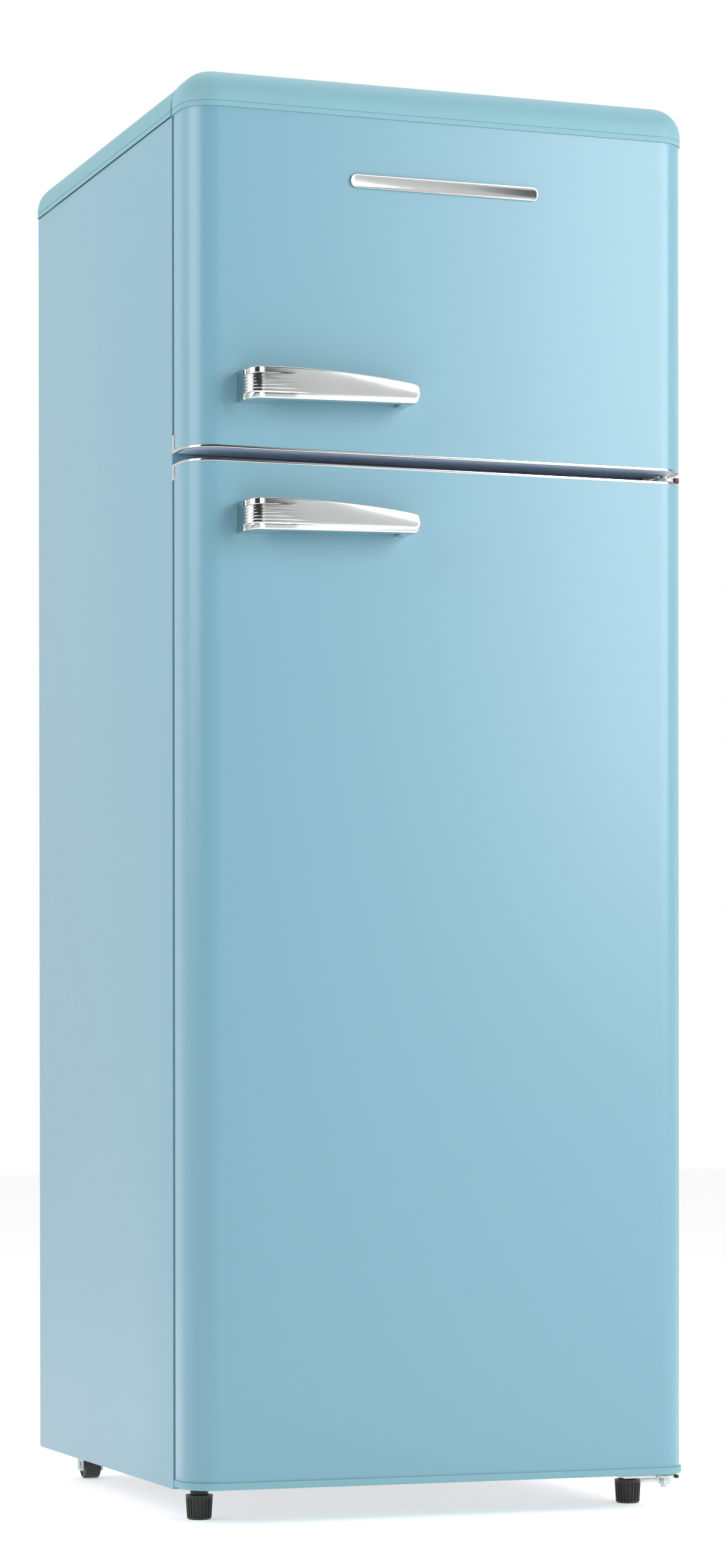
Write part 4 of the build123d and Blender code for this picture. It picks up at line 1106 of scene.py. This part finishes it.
class WORKSHOP_OT_door_linings(bpy.types.Operator):
    """Inner door panels with their raised frames, seals, bins and rack"""
    bl_idname = "fridge.door_linings"
    bl_label = "Door linings, seals and bins"

    def execute(self, context):
        self.panel("fridge_door_liner", 0.212, 0.089, 1.022)
        self.panel("freezer_door_liner", 0.208, 1.128, 1.374)
        for node in ("fridge_door_gasket", "freezer_door_gasket"):
            x0, x1, y0, y1, z0, z1 = span(node)
            seal = frame_ring(x0, x1, y0, y1, z0, z1, 16 * MM)
            for y in (y0 + 2 * MM, y0 + 4.6 * MM):
                slice_at(seal, (0, y, 0), (0, 1, 0))
            groove = lambda c, n: (y0 + 2 * MM < c.y < y0 + 4.6 * MM and abs(n.y) < 0.5
                                   and (abs(c.x) > x1 - 1e-4 or c.z < z0 + 1e-4 or c.z > z1 - 1e-4))
            sink(seal, groove, 0.1 * MM, -3 * MM)
            sharp_round(seal, 0.6 * MM, 2)
            finish(seal, node.replace("gasket", "seal"), node)
        bins = []
        for x0, x1, y0, y1, z0, z1 in solid_spans("fridge_door_bins"):
            bins.append(open_tray(x0, x1, y0, y1, z0, z1, 2.5 * MM, 14 * MM, 4 * MM))
            bins.append(self.rail(x0, x1, y0, y1, z1))
        finish(joined(bins), "fridge_door_shelves", "fridge_door_bins")
        x0, x1, y0, y1, z0, z1 = span("freezer_door_rack")
        rack = open_tray(x0, x1, y0, y1, z0, z1, 2.5 * MM, 12 * MM, 4 * MM)
        finish(joined([rack, self.rail(x0, x1, y0, y1, z1)]), "freezer_door_shelf", "freezer_door_rack")
        return {"FINISHED"}

    def rail(self, x0, x1, y0, y1, top):
        """A thickened lip along a bin's inner side."""
        return rounded_block(x0 + 16 * MM, x1 - 16 * MM, y1 - 5 * MM, y1, top - 8 * MM, top, 1.2 * MM)

    def panel(self, node, half, low, high):
        x0, x1, y0, y1, z0, z1 = span(node)
        land, width = FRONT - 8 * MM, 14 * MM
        sheet = block(x0, x1, y0, land, z0, z1)
        for x in (-half, -half + width, half - width, half):
            slice_at(sheet, (x, 0, 0), (1, 0, 0))
        for z in (low, low + width, high - width, high):
            slice_at(sheet, (0, 0, z), (0, 0, 1))

        def on_frame(c, n):
            inside = abs(c.x) < half - width and low + width < c.z < high - width
            return n.y > 0.9 and c.y > land - 1e-5 and abs(c.x) < half and low < c.z < high and not inside

        pull(sheet, on_frame, (0, y1 - land, 0))
        tidy_flat(sheet)
        bevel(sheet, lambda m, d: m.y > y1 - 1e-5, 4 * MM, 5)
        bevel(sheet, lambda m, d: abs(d.y) > 0.99 and m.y > land + 1e-4, 5 * MM, 4)
        rim = frame_ring(x0, x1, land, FRONT - 5 * MM, z0, z1, 1.5 * MM)
        sharp_round(rim, 0.4 * MM, 2)
        finish(joined([sheet, rim]), node + "_moulding", node)


# Hinges, feet and the compressor bay

def hinge_pin():
    """The doors' common axis, from the first door's joint."""
    for joint in frame["joints"]:
        if joint["name"] == "freezer_door_hinge":
            return joint["pos_m"]
    raise RuntimeError("the record has no freezer_door_hinge")


class WORKSHOP_OT_hinges(bpy.types.Operator):
    """Plated centre and bottom hinges with their pins, screws, nut and end pieces"""
    bl_idname = "fridge.hinges"
    bl_label = "Hinges and screws"
    plate_low, plate_high, arm_low = 1.0845, 1.0965, 1.0766
    screw_height, screw_places = 1.0905, (0.1852, 0.2256)

    def execute(self, context):
        px, py, _ = hinge_pin()
        x0, x1, y0, y1, z0, z1 = span("centre_hinge")
        low, high, arm = self.plate_low, self.plate_high, self.arm_low
        plate = block(x0, px - 4 * MM, FRONT - 2 * MM, FRONT, low, high)
        bevel(plate, lambda m, d: abs(d.y) > 0.99 and m.x < x0 + 1e-4, 5 * MM, 8)
        sharp_round(plate, 0.4 * MM, 2)
        drop = rounded_block(0.246, 0.268, FRONT - 2 * MM, FRONT, arm, high, 0.4 * MM, 2)
        shelf = block(0.248, 0.268, py, FRONT, arm, arm + 3 * MM)
        disc = rod(10 * MM, (px, py, arm + 1.5 * MM), 3 * MM, "Z", 64)
        fuse(shelf, disc)
        sharp_round(shelf, 0.4 * MM, 2)
        pin = rod(4 * MM, (px, py, (z0 + z1) / 2), z1 - z0, "Z", 40)
        bevel(pin, lambda m, d: abs(d.z) < 0.5, 0.8 * MM, 3)
        finish(joined([plate, drop, shelf, pin]), "middle_hinge", "centre_hinge")

        x0, x1, y0, y1, z0, z1 = span("bottom_hinge")
        top = span("left_side_panel")[4]
        under = top - 3 * MM
        plate = block(x0, x1, py, y1, under, top)
        fuse(plate, rod(10 * MM, (px, py, (top + under) / 2), 3 * MM, "Z", 64))
        cut(plate, rod(4.5 * MM, (span("right_foot")[0] / 2 + span("right_foot")[1] / 2,
                                  FRONT + 22 * MM, under), 0.02, "Z", 32))
        sharp_round(plate, 0.6 * MM, 2)
        spacer = rounded_block(x0, 0.240, FRONT, y1, top, span("base_pan")[4], 0.3 * MM, 1)
        lip = rounded_block(0.232, 0.250, py, py + 2.5 * MM, under - 5 * MM, under + 0.2 * MM, 0.5 * MM, 2)
        bolt = rod(4 * MM, (px, py, (z0 + z1) / 2), z1 - z0, "Z", 40)
        bevel(bolt, lambda m, d: abs(d.z) < 0.5, 0.8 * MM, 3)
        collar = rod(7 * MM, (px, py, top + 0.75 * MM), 1.5 * MM, "Z", 48)
        bevel(collar, lambda m, d: abs(d.z) < 0.5, 0.3 * MM, 2)
        finish(joined([plate, spacer, lip, bolt, collar]), "low_hinge", "bottom_hinge")

        ends = []
        for box in solid_spans("hinge_end_caps"):
            ends.append(rounded_block(*box, 1.4 * MM, 4))
        finish(joined(ends), "hinge_ends", "hinge_end_caps")
        self.screws(px, py, under)
        return {"FINISHED"}

    def screws(self, px, py, under):
        z = self.screw_height
        first, second = self.screw_places
        head = rod(4 * MM, (first, FRONT - 3.5 * MM, z), 3 * MM, "Y", 48)
        bevel(head, lambda m, d: m.y < FRONT - 4.9 * MM and abs(d.y) < 0.5, 1.3 * MM, 5)
        deep = FRONT - 4 * MM
        cut(head, block(first - 2.2 * MM, first + 2.2 * MM, FRONT - 6 * MM, deep, z - 0.5 * MM, z + 0.5 * MM),
            block(first - 0.5 * MM, first + 0.5 * MM, FRONT - 6 * MM, deep, z - 2.2 * MM, z + 2.2 * MM))
        shank = rod(1.95 * MM, (first, FRONT + 6 * MM, z), 16 * MM, "Y", 24)
        bevel(shank, lambda m, d: abs(d.y) < 0.5, 0.4 * MM, 2)
        screw = joined([head, shank])
        pieces = [screw, copied(screw, (second - first, 0, 0))]
        lid = span("top_cover")[4]
        for x, y in ((0.200, FRONT + 45 * MM), (0.245, FRONT + 45 * MM)):
            top = rod(4 * MM, (x, y, lid + 4.5 * MM), 3 * MM, "Z", 32)
            bevel(top, lambda m, d: m.z > lid + 5.9 * MM, 1.2 * MM, 4)
            pieces.append(top)
        nut = rod(6.5 * MM / math.cos(math.radians(30)), (0, 0, 0), 6.4 * MM, "Z", 6)
        nut.rotation_euler.z = math.radians(30)
        nut.location = (px, py, under - 3.3 * MM)
        settle(nut)
        bevel(nut, lambda m, d: abs(d.z) < 0.5, 0.7 * MM, 2)
        cut(nut, rod(4.05 * MM, (px, py, under - 3 * MM), 0.02, "Z", 32))
        finish(joined([*pieces, nut]), "hinge_screws", "hinge_fasteners")


class WORKSHOP_OT_feet(bpy.types.Operator):
    """Ribbed levelling feet under black collars, and the rear rollers"""
    bl_idname = "fridge.feet"
    bl_label = "Feet and rollers"

    def execute(self, context):
        for node in ("left_foot", "right_foot"):
            finish(self.foot(node), node + "_moulding", node)
        collars = []
        for x0, x1, y0, y1, z0, z1 in solid_spans("foot_collars"):
            cx, cy, radius = (x0 + x1) / 2, (y0 + y1) / 2, (x1 - x0) / 2
            collar = rod(radius, (cx, cy, (z0 + z1) / 2), z1 - z0, "Z", 72)
            bevel(collar, lambda m, d: m.z < z0 + 1e-4 and abs(d.z) < 0.5, 0.9 * MM, 4)
            cut(collar, rod(4.5 * MM, (cx, cy, (z0 + z1) / 2), 0.05, "Z", 32))
            collars.append(collar)
        finish(joined(collars), "foot_sleeves", "foot_collars")
        for node in ("left_roller", "right_roller"):
            x0, x1, y0, y1, z0, z1 = span(node)
            centre = ((x0 + x1) / 2, (y0 + y1) / 2, (z0 + z1) / 2)
            wheel = rod((z1 - z0) / 2, centre, x1 - x0, "X", 72)
            bevel(wheel, lambda m, d: abs(d.x) < 0.5, 2 * MM, 4)
            sink(wheel, lambda c, n: abs(n.x) > 0.99, 2.2 * MM, -1.6 * MM)
            cut(wheel, rod(4.05 * MM, centre, 0.04, "X", 32))
            finish(wheel, node + "_wheel", node)
        return {"FINISHED"}

    def foot(self, node):
        ribs = sizes().foot_ribs
        x0, x1, y0, y1, z0, z1 = span(node)
        cx, cy = (x0 + x1) / 2, (y0 + y1) / 2
        floor, cup = z0 + 1.5 * MM, z0 + 25 * MM
        fresh()
        bpy.ops.mesh.primitive_cone_add(vertices=ribs * 4, radius1=12.6 * MM, radius2=14 * MM, depth=cup - floor,
                                        location=(cx, cy, (cup + floor) / 2))
        body = settle(bpy.context.object)
        pull(body, lambda c, n: n.z < -0.9, (0, 0, z0 - floor))
        pick_faces(body, lambda c, n: n.z < -0.9 and c.z < z0 + 1e-4)
        bpy.ops.transform.resize(value=(0.889, 0.889, 1), center_override=(cx, cy, z0))
        leave()
        ends = (z0 + 2.4 * MM, z0 + 21.6 * MM)
        for z in ends:
            slice_at(body, (0, 0, z), (0, 0, 1))

        def flute(c, n):
            turn = math.atan2(c.y - cy, c.x - cx) / (2 * math.pi) * ribs * 4
            return ends[0] < c.z < ends[1] and math.floor(turn) % 4 < 2

        sink(body, flute, 0.12 * MM, -0.8 * MM)
        sink(body, lambda c, n: n.z > 0.9 and c.z > cup - 1e-4, 3.4 * MM, 0)
        pull(body, lambda c, n: n.z > 0.9 and abs(c.x - cx) < 1e-4 and abs(c.y - cy) < 1e-4, (0, 0, -6 * MM))
        stud = rod(4 * MM, (cx, cy, (z1 + cup) / 2 - 4 * MM), z1 - cup + 8 * MM, "Z", 32)
        bevel(stud, lambda m, d: abs(d.z) < 0.5, 0.6 * MM, 3)
        fresh()
        bpy.ops.mesh.primitive_torus_add(major_radius=3.9 * MM, minor_radius=0.35 * MM, major_segments=32,
                                         minor_segments=8, location=(cx, cy, cup - 3 * MM))
        ring = settle(bpy.context.object)
        pick_faces(ring, lambda c, n: True)
        bpy.ops.transform.resize(value=(0.98, 0.98, 1), center_override=(cx, cy, cup - 3 * MM))
        leave()
        thread = [ring] + [copied(ring, (0, 0, i * 1.25 * MM)) for i in range(1, 24)]
        return joined([body, stud, *thread])


class WORKSHOP_OT_compressor(bpy.types.Operator):
    """Welded compressor can with its foot plate, mounts, cover, tray and pipes"""
    bl_idname = "fridge.compressor"
    bl_label = "Compressor bay"

    def execute(self, context):
        x0, x1, y0, y1, z0, z1 = span("compressor")
        cx, cy = 0.060, FRONT + 0.428
        can = rod(70 * MM, (cx, cy, (z0 + 4 * MM + z1) / 2), z1 - z0 - 4 * MM, "Z", 96)
        bevel(can, lambda m, d: abs(d.z) < 0.5, 28 * MM, 10)
        for z in (0.128, 0.134):
            slice_at(can, (0, 0, z), (0, 0, 1))
        sink(can, lambda c, n: 0.128 < c.z < 0.134 and abs(n.z) < 0.5, 0.8 * MM, 1.9 * MM)
        plate = block(x0, x1, y0, y1, z0, z0 + 4 * MM)
        bevel(plate, lambda m, d: abs(d.z) > 0.99, 16 * MM, 6)
        sharp_round(plate, 0.8 * MM, 2)
        for dx in (-0.075, 0.075):
            for dy in (-0.045, 0.045):
                cut(plate, rod(6.1 * MM, (cx + dx, cy + dy, z0), 0.02, "Z", 32))
        finish(joined([can, plate]), "compressor_can", "compressor")
        mounts = []
        for x0, x1, y0, y1, z0, z1 in solid_spans("compressor_mounts"):
            mx, my = (x0 + x1) / 2, (y0 + y1) / 2
            bush = rod(11 * MM, (mx, my, z0 + 10 * MM), 20 * MM, "Z", 48)
            for z in (z0 + 8 * MM, z0 + 12 * MM):
                slice_at(bush, (0, 0, z), (0, 0, 1))
            sink(bush, lambda c, n: z0 + 8 * MM < c.z < z0 + 12 * MM, 0.5 * MM, -2 * MM)
            sharp_round(bush, 1 * MM, 2)
            neck = rod(5.9 * MM, (mx, my, (z0 + 18 * MM + z1) / 2), z1 - z0 - 18 * MM, "Z", 32)
            bevel(neck, lambda m, d: abs(d.z) < 0.5 and m.z > z1 - 1e-4, 1.5 * MM, 3)
            mounts.append(joined([bush, neck]))
        finish(joined(mounts), "compressor_bushes", "compressor_mounts")
        x0, x1, y0, y1, z0, z1 = span("evaporation_tray")
        tray = open_tray(x0, x1, y0, y1, z0, z1, 2 * MM, 8 * MM, 3 * MM)
        finish(tray, "drip_tray", "evaporation_tray")
        x0, x1, y0, y1, z0, z1 = span("terminal_box")
        cover = block(x0, x1, y0, y1, z0, z1)
        bevel(cover, lambda m, d: m.x < x0 + 1e-4, 5 * MM, 5)
        slice_at(cover, (x0 + 14 * MM, 0, 0), (1, 0, 0))
        slice_at(cover, (x0 + 15 * MM, 0, 0), (1, 0, 0))
        sink(cover, lambda c, n: x0 + 14 * MM < c.x < x0 + 15 * MM and abs(n.x) < 0.5, 0.1 * MM, -0.8 * MM)
        cut(cover, rod(70.5 * MM, (cx, cy, 0.13), 0.2, "Z", 96))
        finish(cover, "terminal_cover", "terminal_box")
        self.pipes(cx)
        return {"FINISHED"}

    def pipes(self, cx):
        f = FRONT
        hot = tube([(cx + 0.073, f + 0.440, 0.1), (0.2, f + 0.440, 0.1), (0.2, f + 0.502, 0.1),
                    (0.2, f + 0.502, 0.29)], 14 * MM, 2.5 * MM)
        drier = rod(9 * MM, (-0.15, f + 0.455, 0.155), 0.090, "Z", 40)
        bevel(drier, lambda m, d: abs(d.z) < 0.5, 5 * MM, 5)
        liquid = tube([(-0.15, f + 0.455, 0.199), (-0.15, f + 0.455, 0.218), (-0.215, f + 0.455, 0.218),
                       (-0.215, f + 0.502, 0.218), (-0.215, f + 0.502, 0.29)], 9 * MM, 2 * MM)
        cold = tube([(cx + 0.05, f + 0.374, 0.11), (cx + 0.05, f + 0.350, 0.11), (cx + 0.05, f + 0.350, 0.235)],
                    14 * MM, 3 * MM)
        finish(joined([hot, drier, liquid, cold]), "copper_lines", "refrigerant_lines")


class WORKSHOP_OT_carried(bpy.types.Operator):
    """Finishes for the engineering pieces whose shape is kept"""
    bl_idname = "fridge.carried"
    bl_label = "Kept pieces"

    def execute(self, context):
        for node, thing in frame["nodes"].items():
            if thing.hide_render:
                continue
            thing.data.materials.clear()
            # The door end plates take the blue-tinted finish instead of their slot's liner white: painted blue-grey
            # shade of the gap between the doors.
            look = "end_plate" if node.endswith("door_end_plates") else SLOT_OF[node]
            thing.data.materials.append(material_for(look))
        return {"FINISHED"}


# Stage

class WORKSHOP_OT_stage(bpy.types.Operator):
    """Pale floor, soft studio light and the camera"""
    bl_idname = "fridge.stage"
    bl_label = "Stage"
    # name, place, aim, width, height and power
    softboxes = (
        ("right_softbox", (2.1, -2.5, 1.95), (0.0, -0.25, 1.0), 2.0, 2.4, 96),
        ("front_card", (1.35, -2.95, 1.6), (0.0, -0.25, 1.1), 1.3, 2.6, 8),
        ("left_softbox", (-2.7, -0.7, 2.0), (0.0, 0.0, 1.2), 2.0, 1.8, 40),
        ("top_softbox", (0.0, 0.4, 3.4), (0.0, 0.1, 0.0), 2.6, 2.6, 30),
    )

    def execute(self, context):
        fresh()
        bpy.ops.mesh.primitive_plane_add(size=30, location=(0, 0, -0.0002))
        floor = bpy.context.object
        floor.name = "studio_floor"
        settle(floor)
        floor.data.materials.append(floor_paint("floor_paint", tuple(colours().floor)))
        for box in self.softboxes:
            self.softbox(*box)
        self.world()
        self.camera()
        bpy.context.scene.view_settings.view_transform = "Standard"
        return {"FINISHED"}

    def softbox(self, name, place, aim, width, height, power):
        light = bpy.data.lights.new(name, "AREA")
        light.shape, light.size, light.size_y, light.energy = "RECTANGLE", width, height, power
        lamp = bpy.data.objects.new(name, light)
        bpy.context.scene.collection.objects.link(lamp)
        lamp.location = place
        lamp.rotation_euler = (Vector(aim) - Vector(place)).to_track_quat("-Z", "Y").to_euler()

    def world(self):
        """White behind the refrigerator and darker in front of it, as in a studio."""
        world = bpy.data.worlds.new("studio")
        bpy.context.scene.world = world
        world.use_nodes = True
        tree = world.node_tree
        tree.nodes.clear()
        place = tree.nodes.new("ShaderNodeTexCoord")
        parts = tree.nodes.new("ShaderNodeSeparateXYZ")
        tree.links.new(place.outputs["Generated"], parts.inputs[0])
        ramp = tree.nodes.new("ShaderNodeMapRange")
        for key, value in (("From Min", -0.7), ("From Max", 0.3), ("To Min", 0.06), ("To Max", 0.9)):
            ramp.inputs[key].default_value = value
        tree.links.new(parts.outputs["Y"], ramp.inputs["Value"])
        rays = tree.nodes.new("ShaderNodeLightPath")
        level = tree.nodes.new("ShaderNodeMix")
        tree.links.new(rays.outputs["Is Camera Ray"], level.inputs[0])
        tree.links.new(ramp.outputs["Result"], level.inputs[2])
        level.inputs[3].default_value = 1.0
        shade = tree.nodes.new("ShaderNodeBackground")
        shade.inputs["Color"].default_value = (1, 1, 1, 1)
        tree.links.new(level.outputs[0], shade.inputs["Strength"])
        out = tree.nodes.new("ShaderNodeOutputWorld")
        tree.links.new(shade.outputs[0], out.inputs["Surface"])

    def camera(self):
        data = bpy.data.cameras.new("camera")
        data.sensor_width, data.lens, data.shift_y = 36, 93.06, 0.1986
        data.dof.use_dof = False
        camera = bpy.data.objects.new("camera", data)
        bpy.context.scene.collection.objects.link(camera)
        camera.location = (-1.4696, -4.1509, 0.4458)
        camera.rotation_euler = [math.radians(a) for a in (89.825, 0.064, -19.587)]
        bpy.context.scene.camera = camera


class WORKSHOP_PT_refrigerator(bpy.types.Panel):
    """Steps and settings of the refrigerator"""
    bl_idname = "WORKSHOP_PT_refrigerator"
    bl_label = "Refrigerator"
    bl_space_type = "VIEW_3D"
    bl_region_type = "UI"
    bl_category = "Refrigerator"

    def draw(self, context):
        for step in STEPS:
            self.layout.operator(step.bl_idname)
        for settings in (context.scene.refrigerator_sizes, context.scene.refrigerator_colours):
            column = self.layout.column()
            for name in settings.bl_rna.properties.keys():
                if name not in ("rna_type", "name"):
                    column.prop(settings, name)


STEPS = (
    WORKSHOP_OT_stage,
    WORKSHOP_OT_side_panels,
    WORKSHOP_OT_top_cover,
    WORKSHOP_OT_door_skins,
    WORKSHOP_OT_door_cap,
    WORKSHOP_OT_trims,
    WORKSHOP_OT_handles,
    WORKSHOP_OT_nameplate,
    WORKSHOP_OT_hinges,
    WORKSHOP_OT_feet,
    WORKSHOP_OT_liners,
    WORKSHOP_OT_shelves,
    WORKSHOP_OT_controls,
    WORKSHOP_OT_crisper,
    WORKSHOP_OT_door_linings,
    WORKSHOP_OT_rear,
    WORKSHOP_OT_compressor,
    WORKSHOP_OT_carried,
)
CLASSES = (RefrigeratorSizes, RefrigeratorColours, *STEPS, WORKSHOP_PT_refrigerator)


def register():
    for item in CLASSES:
        bpy.utils.register_class(item)
    bpy.types.Scene.refrigerator_sizes = PointerProperty(type=RefrigeratorSizes)
    bpy.types.Scene.refrigerator_colours = PointerProperty(type=RefrigeratorColours)


def unregister():
    del bpy.types.Scene.refrigerator_colours
    del bpy.types.Scene.refrigerator_sizes
    for item in reversed(CLASSES):
        bpy.utils.unregister_class(item)


def main():
    register()
    for step in STEPS:
        group, name = step.bl_idname.split(".")
        getattr(getattr(bpy.ops, group), name)()
    leave()


if __name__ == "__main__":
    main()
